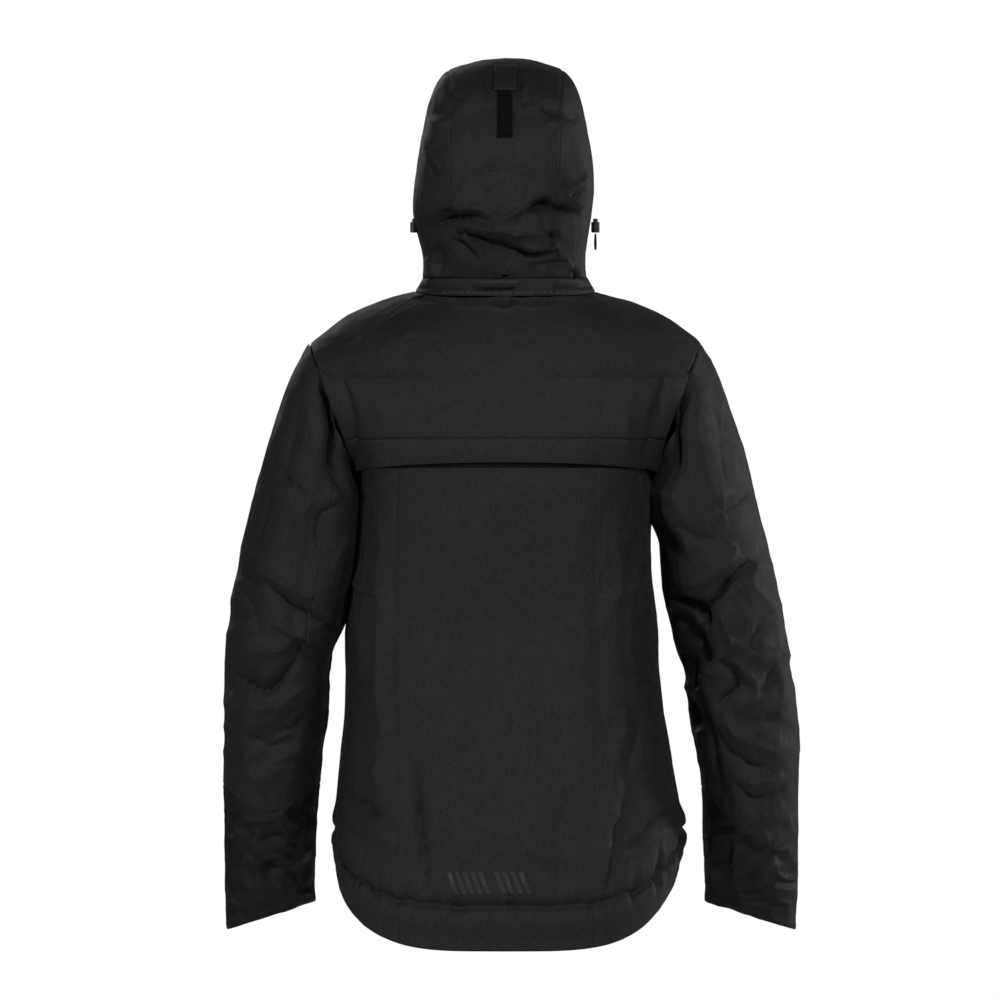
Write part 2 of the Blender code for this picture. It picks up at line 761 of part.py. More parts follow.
def make_pocket(m, side, tag):
    mid, across, out, up, near = pocket_frame(side)
    lift = max(0.0, float((near - mid) @ out))
    centre = mid + out * (lift + 0.0034)
    rows = (across, out, up)
    outline = [(-0.0065, -0.0008), (0.0065, -0.0008), (0.0065, 0.0006), (0.0018, 0.0006),
               (0.0012, 0.0014), (-0.0012, 0.0014), (-0.0018, 0.0006), (-0.0065, 0.0006)]
    reach = up * POCKET_HALF
    extrude("pocket_zip_" + tag, outline, centre - reach, centre + reach, rows, m["zip_tape"])
    park = centre + reach - up * 0.009 + out * 0.0032
    body = block("pocket_slider_" + tag, park, POCKET_SLIDER, m["zip_metal"], rows, EDGE)
    pull = block("pocket_puller_" + tag, park - up * 0.0205 + out * 0.0002, POCKET_PULLER,
                 m["moulded"], rows, EDGE)
    ride("pocket_slide_" + tag, park, body, ride("pocket_puller_" + tag, park - up * 0.0068, pull))

    def bag(u, v):
        k = mix(1.7, 6.3, v)
        return torso(-1, k, side * math.radians(mix(24, 62, u)))

    panel("pocket_bag_" + tag, bag, 5, 6, m["mesh_cloth"], torso_middle, base=-BAG_DEPTH,
          thick=BAG_THICK)


def make_hem_lock(m, side, tag):
    """Sits inside the hem, a little ahead of the side seam."""
    wall = torso(-1, 1.35, side * math.radians(68))
    foot = wall + np.array((-side * 0.013, 0.006, -0.004))
    lock_parts(m, "hem_" + tag, foot, (0, 0, 1))


def make_jacket():
    clear()
    m = materials()
    make_torso(m)
    make_vent_flap(m)
    make_collar(m)
    make_hood(m)
    make_hanger_loop(m)
    make_front_zip(m)
    for side, tag in ((1, "L"), (-1, "R")):
        make_sleeve(m, side, tag)
        make_pocket(m, side, tag)
        make_hem_lock(m, side, tag)


make_jacket()
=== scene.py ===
import math

import bpy
import numpy as np
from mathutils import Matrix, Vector


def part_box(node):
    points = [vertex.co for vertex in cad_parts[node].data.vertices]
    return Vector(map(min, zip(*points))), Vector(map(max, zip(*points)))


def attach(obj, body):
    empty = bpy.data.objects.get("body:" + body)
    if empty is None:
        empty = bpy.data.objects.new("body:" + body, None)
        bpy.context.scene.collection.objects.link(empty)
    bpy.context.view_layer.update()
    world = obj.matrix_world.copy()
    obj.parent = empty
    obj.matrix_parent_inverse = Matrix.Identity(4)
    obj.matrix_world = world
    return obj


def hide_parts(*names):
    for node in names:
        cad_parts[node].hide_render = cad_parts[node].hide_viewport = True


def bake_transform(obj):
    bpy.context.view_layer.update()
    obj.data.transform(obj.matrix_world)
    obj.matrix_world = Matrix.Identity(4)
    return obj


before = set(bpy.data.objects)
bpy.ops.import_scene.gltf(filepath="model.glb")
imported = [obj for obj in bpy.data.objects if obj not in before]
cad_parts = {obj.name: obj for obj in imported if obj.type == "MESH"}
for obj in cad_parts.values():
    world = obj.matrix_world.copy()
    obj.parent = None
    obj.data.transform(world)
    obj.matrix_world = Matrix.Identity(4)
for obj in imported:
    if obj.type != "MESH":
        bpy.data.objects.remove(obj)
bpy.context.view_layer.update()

MM = 0.001

# ---------------------------------------------------------------- driving sizes, as in the frame
BACK_SEAM_X = {1: 0.121, -1: 0.102}
ZIP_HALF = 0.0105
COLLAR_HALF = 0.093
HEM_RADIUS = 0.19
HEM_STITCH_V = (0.10, 0.80)
HEM_Z = -0.672
CHIN_Z = 0.032
HEM_Y = -0.146
CHIN_Y = -0.106
VENT_K = 11.0
VENT_LOW_K = 9.5
TOP_K = 20.0
ELBOW_K = 7.0
CUFF_K = 14.0
BRIM_K = 1.0
HOOD_LAST = 10.97
HOOD_GAP = 0.0004
CLOTH = 0.0009
CORD_R = 0.0011
FOLD_SCALE = 1.6
ARM_LEAN = 0.0065
WAIST_LEAN = 0.0035
FLAT_SEAM = 0.00035
SEAM_ROLL = 0.0007
QUARTER = math.pi / 2
# The hood's seam along the collar: how far it turns in all, from where, and to the collar's side.
SEAM_TURN = math.radians(145)
CHIN_TURN = math.radians(35)
SIDE_TURN = math.radians(55)
GRID = 0.0024

# Torso rows in mm: edge x, edge y, edge z, back y, back z, front z, width power, depth power.
TORSO = [
    (193, 0, -655, 148, -749, -672, 2.6, 2.6),
    (197, 0, -608, 150, -694, -622, 2.6, 2.6),
    (190, 0, -550, 146, -620, -560, 2.6, 2.6),
    (182, 0, -490, 140, -530, -495, 2.5, 2.5),
    (177, 0, -425, 134, -440, -425, 2.5, 2.5),
    (176, 0, -375, 132, -380, -372, 2.5, 2.5),
    (167, 0, -325, 134, -330, -318, 2.5, 2.5),
    (165, 0, -280, 138, -280, -270, 2.5, 2.5),
    (167, 0, -235, 141, -235, -225, 2.5, 2.5),
    (168, 0, -207, 142, -207, -198, 2.5, 2.4),
    (171.5, 43, -197, 142, -195, -186, 2.4, 1.6),
    (181.2, 74.5, -170.5, 140, -168, -165, 2.3, 1.2),
    (194.5, 86, -134, 135, -134, -142, 2.2, 1.1),
    (207.8, 74.5, -97.5, 126, -100, -118, 2.2, 1.2),
    (217.4, 43, -70.8, 118, -72, -103, 2.1, 1.5),
    (221, 0, -61, 113, -56, -94, 2.0, 2.0),
    (203, 0, -46, 108, -45, -87, 2.0, 2.0),
    (177, 0, -28, 102, -34, -80, 2.0, 2.0),
    (140, 0, -12, 95, -23, -73, 2.0, 2.0),
    (116, 0, -5, 90, -14, -67, 2.0, 2.0),
    (100, 0, -1, 84, -6, -60, 2.0, 2.0),
]
# Sleeve rings in mm: outer x, outer z, inner x, inner z, middle y, half depth.
SLEEVE = [
    (221, -61, 168, -207, 0, 86),
    (241, -98, 172, -236, -1, 87),
    (258, -147, 174, -266, -2, 86),
    (275, -198, 177, -300, -4, 84),
    (288, -249, 181, -333, -6, 82),
    (300, -299, 186, -364, -8, 80),
    (310, -350, 194, -398, -11, 77),
    (318, -405, 200, -432, -15, 74),
    (322, -450, 204, -468, -22, 71),
    (325, -500, 209, -508, -31, 68),
    (326, -545, 215, -545, -40, 65),
    (325, -590, 218, -587, -49, 62),
    (324, -640, 220, -630, -58, 59),
    (324, -685, 222, -668, -66, 56),
    (322, -724, 221, -692, -72, 52),
]
# Hood arches in mm: top y, top z, place along the collar seam, half width, place of the seam.
HOOD = [
    (-128, 232, 0.00, 72, 0.42),
    (-100, 249, 0.12, 88, 0.31),
    (-60, 259.5, 0.24, 98, 0.26),
    (-15, 262, 0.35, 100.5, 0.25),
    (30, 252, 0.46, 99, 0.25),
    (68, 228, 0.56, 93, 0.27),
    (82, 200, 0.64, 86, 0.30),
    (96, 172, 0.71, 76, 0.38),
    (101, 135, 0.79, 62, 0.54),
    (99, 95, 0.87, 44, 0.76),
    (91, 50, 0.945, 22, 0.95),
    (80.5, 16, 1.00, 5, 0.95),
]
ARCH = [(0, 1), (0.25, 0.995), (0.46, 0.972), (0.64, 0.945), (0.76, 0.895), (0.85, 0.81),
        (0.92, 0.68), (0.98, 0.54), (1, 0.42), (0.98, 0.30), (0.945, 0.19), (0.92, 0.09),
        (0.93, 0)]
CAP_ROWS = [13, 14, 15, 16, 17, 18, 19, 20]
CAP_SHARE = [1.0, 0.86, 0.74, 0.735, 0.757, 0.84, 0.90, 0.88]
# The hood cord's loop in mm, from the lock's foot and back to it.
CORD_ROUTE = [(0, -2.6, -0.8), (0.4, -3.0, -6), (0.6, -2.9, -12), (0.2, -1.4, -17.2),
              (-0.2, 1.4, -17.4), (-0.4, 3.1, -12.2), (-0.2, 3.0, -6), (0, 2.6, -0.8)]


# ---------------------------------------------------------------- the object's own surfaces
def rows(table, k):
    """Rows of the table at fractional places, on a smooth curve through them."""
    table = np.array(table, float)
    padded = np.vstack([2 * table[0] - table[1], table, 2 * table[-1] - table[-2]])
    k = np.asarray(k, float)
    i = np.clip(np.floor(k).astype(int), 0, len(table) - 2)
    f = (k - i)[..., None]
    p0, p1, p2, p3 = padded[i], padded[i + 1], padded[i + 2], padded[i + 3]
    a = -p0 + 3 * p1 - 3 * p2 + p3
    b = 2 * p0 - 5 * p1 + 4 * p2 - p3
    return 0.5 * (((a * f + b) * f + (p2 - p0)) * f) + p1


def mix(a, b, f):
    return a + (b - a) * f


def smooth(low, high, x):
    t = np.clip((x - low) / (high - low), 0, 1)
    return t * t * (3 - 2 * t)


def stack(x, y, z):
    return np.stack(np.broadcast_arrays(x, y, z), axis=-1)


def bell(x, width, power=2):
    """1 at x = 0, falling to nothing within about twice the width."""
    return np.exp(-((x / width) ** power))


def unit(n):
    return n / np.maximum(np.linalg.norm(n, axis=-1, keepdims=True), 1e-12)


def constant(value):
    return lambda k: value + 0 * k


def grid(nu, nv):
    """Places u across and v along a grid of nu by nv points, from 0 to 1."""
    return np.meshgrid(np.linspace(0, 1, nu), np.linspace(0, 1, nv))


def zip_y(z):
    """How far forward the front zip lies at a height."""
    return HEM_Y + (CHIN_Y - HEM_Y) * (z - HEM_Z) / (CHIN_Z - HEM_Z)


def ring(xe, ye, ze, yc, zc, phi, width_power, depth_power):
    """A half ring between its side edges (xe, ye, ze) through its middle (yc, zc)."""
    q = np.sin(phi)
    depth = np.maximum(1 - np.abs(q) ** width_power, 0) ** (1 / depth_power)
    drop = np.maximum(1 - q ** 4, 0) ** 0.6
    return stack(xe * q, ye + (yc - ye) * depth, ze + (zc - ze) * drop)


def torso(half, k, phi):
    """The body's surface: half is 1 at the back and -1 at the front, phi is 0 in the middle."""
    r = (rows(TORSO, np.clip(k - 0.4, 0, TOP_K)) + 2 * rows(TORSO, np.clip(k, 0, TOP_K))
         + rows(TORSO, np.clip(k + 0.4, 0, TOP_K))) / 4
    phi = np.clip(phi, -QUARTER, QUARTER)
    xe, ya, ze, yb, zb, zf = [r[..., i] * MM for i in range(6)]
    ya = np.maximum(ya, 0)
    yc, zc = (yb, zb) if half > 0 else (zip_y(zf), zf)
    point = ring(xe, half * ya, ze, yc, zc, phi, r[..., 6], r[..., 7])
    # The drawcord's channel runs unevenly where the cloth is gathered on it.
    drawn = bell(k - 1.0, 0.30) * np.clip(np.abs(phi) / 0.2, 0, 1)
    run = stack(phi * HEM_RADIUS / 0.016, 0.5, 0.5)
    point[..., 2] += 0.0040 * drawn * noise(run, 87)
    return point


def collar(half, h, phi):
    """The collar, from the body's top row at h = 0 up to its own edge at h = 1."""
    low = torso(half, np.full(np.shape(phi), TOP_K), phi)
    yc, zc = (0.079, 0.0135) if half > 0 else (CHIN_Y, CHIN_Z)
    high = ring(COLLAR_HALF, 0.0, 0.013, yc, zc, phi, 2.2, 2.1)
    return low + (high - low) * np.asarray(h)[..., None]


def sleeve(side, k, theta):
    """The sleeve's surface: theta is 0 on its outer side and a quarter turn at the back."""
    r = rows(SLEEVE, np.clip(k, 0, CUFF_K)) * MM
    across = np.cos(theta)
    x = (r[..., 0] + r[..., 2]) / 2 + across * (r[..., 0] - r[..., 2]) / 2
    z = (r[..., 1] + r[..., 3]) / 2 + across * (r[..., 1] - r[..., 3]) / 2
    return stack(side * x, r[..., 4] + r[..., 5] * np.sin(theta), z)


def seam_place(g):
    """The hood's seam on the collar's edge, from the chin at g = 0 to the nape at g = 1."""
    turn = SEAM_TURN * g
    front = collar(-1, np.ones_like(turn), np.minimum(CHIN_TURN + turn, QUARTER))
    back = collar(1, np.ones_like(turn), np.minimum(SEAM_TURN - turn, QUARTER))
    point = np.where((turn < SIDE_TURN)[..., None], front, back)
    return point + np.array((0, 0, HOOD_GAP))


def hood(k, t):
    """The hood's surface: arches k from the brim to the nape, t from -1 to 1 across each."""
    k = np.clip(k, 0, len(HOOD) - 1)
    t = np.clip(t, -1, 1)
    r = rows(HOOD, k)
    y, z, g, width = r[..., 0] * MM, r[..., 1] * MM, np.clip(r[..., 2], 0, 1), r[..., 3] * MM
    low = seam_place(g)
    reach = np.abs(t)
    arch = rows(ARCH, reach * (len(ARCH) - 1))
    x = width * arch[..., 0] + (low[..., 0] - width * ARCH[-1][0]) * reach ** 3
    back = y + (low[..., 1] - y) * reach ** 1.6
    return stack(np.sign(t) * x, back, low[..., 2] + (z - low[..., 2]) * arch[..., 1])


def hood_seam_t(k):
    """How far from the middle the seam of the crown panel lies."""
    return rows(HOOD, k)[..., 4]


def row_phi(x, k):
    """The torso angle that is x from the middle in row k."""
    return np.arcsin(np.minimum(1.0, x / (rows(TORSO, k)[..., 0] * MM)))


def cap_edge(k):
    """The torso angle of the shoulder cap's seam."""
    return np.arcsin(np.interp(k, CAP_ROWS, CAP_SHARE))


def edge_phi(k):
    return np.where(k > CAP_ROWS[0], cap_edge(k), QUARTER)


def cuff_seam_k(side, theta):
    """Sleeve row of the seam between forearm and cuff, lowest at the back of the arm."""
    if side > 0:
        return 10.3 + 0.75 * np.sin(theta) ** 2
    return 10.4 + 1.45 * np.maximum(0, np.cos(theta - math.radians(62))) ** 1.2


# ---------------------------------------------------------------- noise and folds
def hash01(i, j, k, seed):
    """An even spread of values from 0 to 1, always the same for the same cell."""
    h = (i * 374761393 + j * 668265263 + k * 2147483647 + seed * 1274126177) & 0x7FFFFFFF
    h = ((h ^ (h >> 13)) * 1274126177) & 0x7FFFFFFF
    h = ((h ^ (h >> 15)) * 461845907) & 0x7FFFFFFF
    return ((h ^ (h >> 16)) & 0xFFFFFF) / float(0xFFFFFF)


def noise(p, seed):
    """Smooth noise from -1 to 1 at the points."""
    cell = np.floor(p).astype(np.int64)
    f = p - cell
    f = f * f * f * (f * (f * 6 - 15) + 10)
    total = 0
    for corner in range(8):
        d = np.array((corner & 1, corner >> 1 & 1, corner >> 2 & 1))
        c = cell + d
        w = np.prod(np.where(d == 1, f, 1 - f), axis=-1)
        total = total + w * hash01(c[..., 0], c[..., 1], c[..., 2], seed)
    return 2 * total - 1


def creases(p, seed):
    """0 on the borders of random cells, rising to about 0.5 inside them."""
    cell = np.floor(p).astype(np.int64)
    near = np.full(p.shape[:-1], 9.0)
    second = near.copy()
    for n in range(27):
        c = cell + np.array((n % 3 - 1, n // 3 % 3 - 1, n // 9 - 1))
        spot = np.stack([hash01(c[..., 0], c[..., 1], c[..., 2], seed + s) for s in (1, 2, 3)], -1)
        d = np.linalg.norm(c + spot - p, axis=-1)
        second = np.minimum(second, np.maximum(near, d))
        near = np.minimum(near, d)
    return second - near


def through(points, steps):
    """Even points on a smooth curve through the given ones."""
    fine = rows(points, np.linspace(0, len(points) - 1, 40 * len(points)))
    run = np.concatenate([[0], np.cumsum(np.linalg.norm(np.diff(fine, axis=0), axis=1))])
    marks = np.linspace(0, run[-1], steps)
    return np.stack([np.interp(marks, run, fine[:, i]) for i in range(fine.shape[1])], -1)


def fold_height(x, z, folds):
    """Height in metres of drawn folds, seen flat in x and z. A fold is (points in mm, height in
    mm, width in mm on its left going along it, width on its right)."""
    total = np.zeros_like(x)
    spot = stack(x, z, 0.0)
    x = x + 0.0022 * noise(spot / 0.016, 71) + 0.0032 * noise(spot / 0.041, 72)
    z = z + 0.0022 * noise(spot / 0.016, 73) + 0.0032 * noise(spot / 0.041, 74)
    for points, height, left, right in folds:
        line = through(points, 4 + 5 * (len(points) - 1)) * MM
        reach = 3.0 * max(left, right) * MM
        low = line.min(0) - reach
        high = line.max(0) + reach
        inside = (x > low[0]) & (x < high[0]) & (z > low[1]) & (z < high[1])
        if not inside.any():
            continue
        px, pz = x[inside], z[inside]
        best = np.full(px.shape, 1e9)
        side = np.zeros_like(px)
        along = np.zeros_like(px)
        count = len(line) - 1
        for i in range(count):
            a, b = line[i], line[i + 1]
            d = b - a
            t = np.clip(((px - a[0]) * d[0] + (pz - a[1]) * d[1]) / (d @ d), 0, 1)
            ox, oz = px - a[0] - t * d[0], pz - a[1] - t * d[1]
            dist = np.hypot(ox, oz)
            closer = dist < best
            best = np.where(closer, dist, best)
            side = np.where(closer, d[0] * oz - d[1] * ox, side)
            along = np.where(closer, (i + t) / count, along)
        width = np.where(side > 0, left, right) * MM
        ends = np.clip(np.sin(math.pi * along), 0, 1) ** 0.6
        soft = bell(best, 1.1 * width, 1.6)
        crest = np.exp(-best / (0.42 * width))
        total[inside] += FOLD_SCALE * height * MM * ends * (0.50 * soft + 0.66 * crest)
    return total


# Folds at the back, in mm as (x, z): positive heights stand out.
HOOD_FOLDS = [
    # The first deep fold runs from both sides up to a point right of the middle.
    ([(90, 68), (72, 77), (46, 80), (24, 76), (9, 72)], -9.4, 6, 13),
    ([(92, 84), (60, 92), (30, 90), (10, 80)], 6.0, 12, 8),
    ([(88, 118), (66, 98), (40, 96)], 3.0, 9, 6),
    ([(9, 72), (-14, 86), (-38, 98)], 5.0, 9, 5),
    ([(-16, 80), (-38, 96), (-60, 90), (-88, 82)], -10.0, 10, 4),
    ([(-30, 90), (-42, 92), (-52, 88)], -5.0, 7, 4),
    # The second lies below it and sags to the right.
    ([(56, 62), (30, 60), (9, 51), (-16, 42), (-34, 38), (-58, 44)], -10.5, 11, 4),
    ([(64, 72), (20, 70), (-14, 62), (-50, 66), (-70, 70)], 5.0, 7, 8),
    ([(-44, 68), (-56, 58), (-50, 48)], -4.0, 6, 5),
    ([(-20, 50), (-40, 47), (-60, 52)], 4.0, 6, 4),
    ([(60, 56), (44, 48), (33, 38), (26, 28)], -4.5, 7, 3),
    ([(50, 60), (33, 52), (22, 40)], 3.0, 4, 7),
    ([(-14, 28), (-40, 26), (-74, 36)], -3.0, 8, 4),
    ([(80, 52), (70, 38), (74, 18)], -3.5, 7, 7),
    ([(88, 40), (80, 30), (82, 12)], 3.0, 7, 6),
    ([(-72, 24), (-80, 14), (-84, 6)], -4.0, 5, 6),
    ([(-64, 40), (-70, 26), (-72, 10)], 2.6, 6, 5),
    # Dimples below the crown, and the ridges beside the seams.
    ([(90, 201), (78, 200), (58, 199)], -4.0, 4, 9),
    ([(88, 190), (74, 188), (58, 190)], 2.4, 8, 9),
    ([(-40, 207), (-52, 200), (-68, 196), (-80, 188)], -4.0, 4, 9),
    ([(-44, 190), (-58, 186), (-74, 178)], 2.4, 9, 9),
    ([(94, 180), (84, 158), (72, 130)], 4.0, 6, 9),
    ([(90, 160), (80, 140), (74, 120)], -2.4, 5, 7),
    ([(-92, 130), (-76, 122), (-60, 111)], 4.5, 5, 9),
    ([(-60, 111), (-74, 100), (-90, 92)], 4.0, 9, 5),
    ([(-90, 112), (-80, 108), (-70, 108)], -3.0, 7, 5),
    ([(26, 142), (8, 144), (-16, 157)], -2.0, 3, 6),
    ([(60, 160), (40, 128), (14, 96)], -2.2, 12, 14),
    ([(-10, 134), (-30, 122), (-40, 112)], -2.0, 9, 10),
    ([(24, 246), (20, 226), (16, 210)], -3.0, 8, 5),
    ([(-16, 246), (-20, 226), (-22, 206)], -3.0, 5, 10),
    ([(-34, 244), (-36, 228), (-30, 208)], -2.4, 8, 8),
    ([(72, 240), (62, 222), (44, 212)], -3.0, 10, 8),
]
BODY_FOLDS = [
    ([(104, -8), (70, -12), (0, -15), (-70, -12), (-100, -8)], -5.6, 4, 6),
    ([(84, -16), (30, -21), (-30, -21), (-80, -15)], 1.6, 4, 7),
    ([(150, -72), (112, -54), (86, -38)], 2.0, 10, 16),
    ([(-150, -74), (-110, -54), (-86, -40)], 2.0, 16, 10),
    ([(164, -236), (168, -160), (186, -84)], -4.0, 6, 7),
    ([(-160, -236), (-164, -160), (-184, -88)], -4.0, 7, 6),
    ([(150, -196), (140, -150), (148, -100)], 2.4, 12, 16),
    ([(-138, -196), (-134, -150), (-146, -100)], 2.4, 16, 12),
    ([(142, -232), (136, -330), (138, -440), (142, -560), (132, -640)], 3.4, 22, 24),
    ([(124, -232), (121, -330), (122, -440), (126, -560)], -1.4, 9, 12),
    ([(164, -260), (160, -360), (160, -480)], 2.6, 14, 26),
    ([(-150, -260), (-146, -360), (-148, -470)], 2.6, 26, 14),
    ([(-114, -232), (-108, -320), (-112, -430), (-108, -560)], -1.2, 12, 12),
    ([(-132, -236), (-126, -330), (-128, -430)], 1.3, 16, 12),
    ([(-156, -470), (-140, -560), (-112, -676)], -6.0, 5, 15),
    ([(-138, -466), (-122, -560), (-98, -660)], 3.2, 12, 12),
    ([(194, -556), (164, -578), (120, -614)], -4.0, 5, 14),
    ([(192, -592), (160, -604), (122, -626)], 2.8, 8, 8),
    ([(-198, -578), (-170, -598), (-128, -636)], -3.4, 12, 5),
    ([(-196, -600), (-168, -616), (-136, -640)], 2.4, 7, 8),
    ([(62, -236), (52, -380), (60, -520)], 2.4, 26, 32),
    ([(-40, -240), (-34, -400), (-46, -560)], -2.6, 32, 26),
    ([(14, -236), (10, -380), (20, -560)], -1.6, 22, 22),
    ([(20, -600), (-30, -630), (-84, -640)], 2.0, 16, 22),
    ([(108, -520), (96, -600), (90, -690)], -5.0, 7, 12),
    ([(60, -590), (52, -640), (56, -690)], 1.8, 14, 14),
    ([(-70, -556), (-62, -620), (-68, -684)], -2.4, 12, 8),
    ([(-30, -610), (-24, -650), (-34, -690)], 1.6, 14, 14),
    ([(174, -296), (160, -330), (126, -348)], 2.8, 7, 13),
    ([(-164, -296), (-148, -332), (-112, -352)], 2.8, 13, 7),
    ([(186, -420), (164, -440), (140, -446)], -2.4, 8, 10),
    ([(-182, -400), (-160, -424), (-138, -432)], -2.4, 10, 8),
]
LEFT_FOLDS = [
    ([(190, -226), (194, -160), (212, -90)], -14.0, 9, 11),
    ([(306, -604), (284, -622), (262, -616), (240, -628)], -3.0, 5, 8),
    ([(228, -612), (250, -604), (262, -612)], 2.4, 7, 6),
    ([(302, -634), (288, -650), (262, -642), (238, -654)], 2.8, 7, 6),
    ([(304, -668), (280, -664), (250, -676)], -2.6, 5, 8),
    ([(222, -640), (236, -664), (234, -684)], -3.0, 5, 7),
    ([(280, -590), (288, -640), (284, -700)], 2.0, 8, 8),
    ([(308, -300), (292, -324), (264, -330)], -3.0, 6, 10),
    ([(262, -190), (240, -216), (214, -230)], -2.6, 5, 10),
    # Elbow: a cup-shaped fold with its ridge above and below.
    ([(314, -424), (300, -440), (277, -453), (251, -440), (230, -404)], -6.5, 4, 12),
    ([(320, -446), (294, -466), (262, -468), (232, -446)], 5.0, 13, 6),
    ([(304, -398), (272, -408), (244, -398)], 4.0, 10, 9),
    ([(270, -326), (240, -352), (214, -372), (194, -388)], -5.6, 10, 4),
    ([(284, -312), (250, -330), (222, -348)], 4.0, 9, 10),
    ([(262, -372), (240, -388), (212, -404)], 3.6, 8, 9),
    ([(240, -394), (226, -414), (206, -432)], -4.0, 8, 6),
    ([(188, -226), (208, -252), (216, -290)], -4.0, 5, 10),
    ([(210, -206), (226, -250), (232, -300)], 3.2, 9, 11),
    ([(186, -268), (200, -300), (204, -336)], 3.0, 8, 8),
    ([(244, -100), (262, -150), (276, -210)], 2.2, 14, 14),
    ([(226, -118), (240, -170), (246, -220)], -2.6, 12, 12),
    ([(304, -496), (274, -516), (240, -510)], -3.4, 6, 12),
    ([(312, -536), (282, -550), (246, -540)], 2.8, 9, 9),
    ([(222, -466), (238, -490), (268, -500)], -3.8, 5, 10),
    ([(280, -470), (296, -500), (300, -540)], 2.6, 9, 9),
    ([(292, -560), (278, -580), (274, -600)], -2.0, 8, 8),
    ([(300, -612), (272, -628), (238, -618)], 2.4, 8, 10),
    ([(300, -650), (270, -658), (244, -646)], -2.4, 8, 9),
    ([(232, -594), (240, -640), (236, -682)], -2.8, 7, 9),
    ([(262, -640), (256, -670), (262, -700)], 2.0, 8, 8),
    ([(266, -180), (272, -240), (286, -310)], -2.2, 16, 12),
    ([(300, -330), (286, -360), (282, -392)], -2.6, 9, 9),
]
RIGHT_FOLDS = [
    ([(-186, -226), (-191, -160), (-208, -92)], -14.0, 11, 9),
    # The hollow behind the elbow, deep enough to lie in its own shade.
    ([(-188, -346), (-212, -364), (-222, -386)], -16.0, 5, 11),
    ([(-188, -360), (-206, -392), (-218, -424)], -13.0, 9, 10),
    ([(-196, -404), (-206, -430), (-210, -452)], -7.0, 6, 8),
    ([(-200, -446), (-206, -470), (-212, -500)], -6.0, 5, 9),
    ([(-306, -616), (-284, -636), (-258, -628), (-240, -640)], -3.0, 8, 5),
    ([(-232, -616), (-252, -640), (-250, -680)], 2.6, 7, 7),
    ([(-300, -640), (-276, -666), (-262, -690)], 2.6, 7, 6),
    ([(-310, -700), (-284, -690), (-262, -694)], -2.4, 7, 6),
    ([(-290, -216), (-262, -240), (-236, -250)], -2.6, 9, 5),
    ([(-310, -470), (-290, -484), (-262, -488)], -2.8, 9, 6),
    ([(-172, -254), (-186, -278), (-196, -304)], -5.0, 5, 10),
    ([(-186, -246), (-202, -276), (-210, -304)], 3.6, 9, 8),
    ([(-196, -262), (-214, -280), (-240, -284)], -3.0, 6, 8),
    # The deep fold above the elbow, with the dark hollow under it.
    ([(-205, -348), (-222, -358), (-240, -346), (-276, -302)], -8.0, 12, 4),
    ([(-206, -328), (-232, -328), (-262, -292)], 5.0, 9, 9),
    ([(-252, -352), (-268, -334), (-288, -300)], 4.0, 7, 10),
    ([(-214, -376), (-222, -404), (-216, -436)], -6.0, 14, 8),
    ([(-240, -366), (-252, -394), (-246, -420)], 4.6, 9, 9),
    ([(-236, -418), (-259, -444), (-235, -472)], -5.6, 4, 7),
    ([(-254, -414), (-276, -446), (-256, -480)], 4.4, 9, 7),
    ([(-304, -416), (-290, -446), (-266, -452)], -3.4, 8, 8),
    ([(-300, -360), (-282, -384), (-276, -410)], -3.0, 9, 9),
    ([(-217, -466), (-229, -520), (-241, -586)], -2.6, 4, 6),
    ([(-206, -470), (-216, -520), (-226, -580)], 2.2, 6, 5),
    ([(-232, -492), (-251, -523), (-292, -543)], -4.6, 9, 4),
    ([(-240, -480), (-264, -506), (-300, -524)], 3.4, 8, 8),
    ([(-248, -556), (-273, -575), (-309, -562)], -3.8, 8, 4),
    ([(-250, -542), (-276, -556), (-306, -546)], 2.8, 8, 7),
    ([(-258, -590), (-286, -596), (-312, -584)], 2.4, 7, 8),
    ([(-246, -100), (-262, -150), (-280, -210)], 2.4, 14, 12),
    ([(-232, -110), (-244, -170), (-252, -230)], -2.4, 12, 12),
    ([(-192, -226), (-208, -262), (-212, -300)], 2.8, 9, 9),
    ([(-262, -180), (-276, -240), (-292, -310)], -2.2, 14, 16),
    ([(-300, -646), (-270, -660), (-240, -650)], 2.4, 9, 9),
    ([(-296, -672), (-268, -684), (-244, -680)], -2.2, 8, 8),
    ([(-236, -606), (-246, -650), (-240, -692)], -2.8, 9, 7),
]
FRONT_FOLDS = [
    ([(156, -186), (120, -240), (90, -274)], 3.0, 9, 14),
    ([(-156, -186), (-118, -236), (-86, -266)], 3.0, 14, 9),
    ([(110, -190), (86, -240), (60, -262)], -2.4, 12, 12),
    ([(-112, -190), (-84, -236), (-58, -260)], -2.4, 12, 12),
    ([(60, -250), (52, -420), (60, -600)], 2.4, 18, 24),
    ([(-52, -260), (-44, -430), (-56, -600)], 2.4, 24, 18),
    ([(164, -326), (140, -350), (104, -358)], -3.0, 6, 13),
    ([(-162, -322), (-138, -350), (-106, -362)], -3.0, 13, 6),
    ([(144, -556), (110, -590), (66, -602)], 2.6, 12, 14),
    ([(-148, -562), (-112, -598), (-72, -608)], 2.6, 14, 12),
    ([(150, -470), (112, -500), (80, -508)], -2.4, 8, 12),
    ([(-146, -466), (-112, -494), (-84, -506)], -2.4, 12, 8),
]


def crumple(p, seed, size=1.0):
    """The small unevenness that stiff laminated cloth has."""
    q = p * np.array((1.0, 1.0, 0.46))
    waves = 0.0012 * noise(q / 0.075, seed) + 0.0007 * noise(q / 0.030, seed + 5)
    fine = 0.00018 * noise(p / 0.011, seed + 9)
    edges = bell(creases(q / 0.055, seed + 20), 0.12, 1.3)
    return size * (waves + fine + 0.0006 * edges)


def ridges(p, sizes, seed):
    """Crisp creases: high along thin lines, low between them."""
    return 0.6 - 2 * np.abs(noise(p / np.array(sizes), seed))


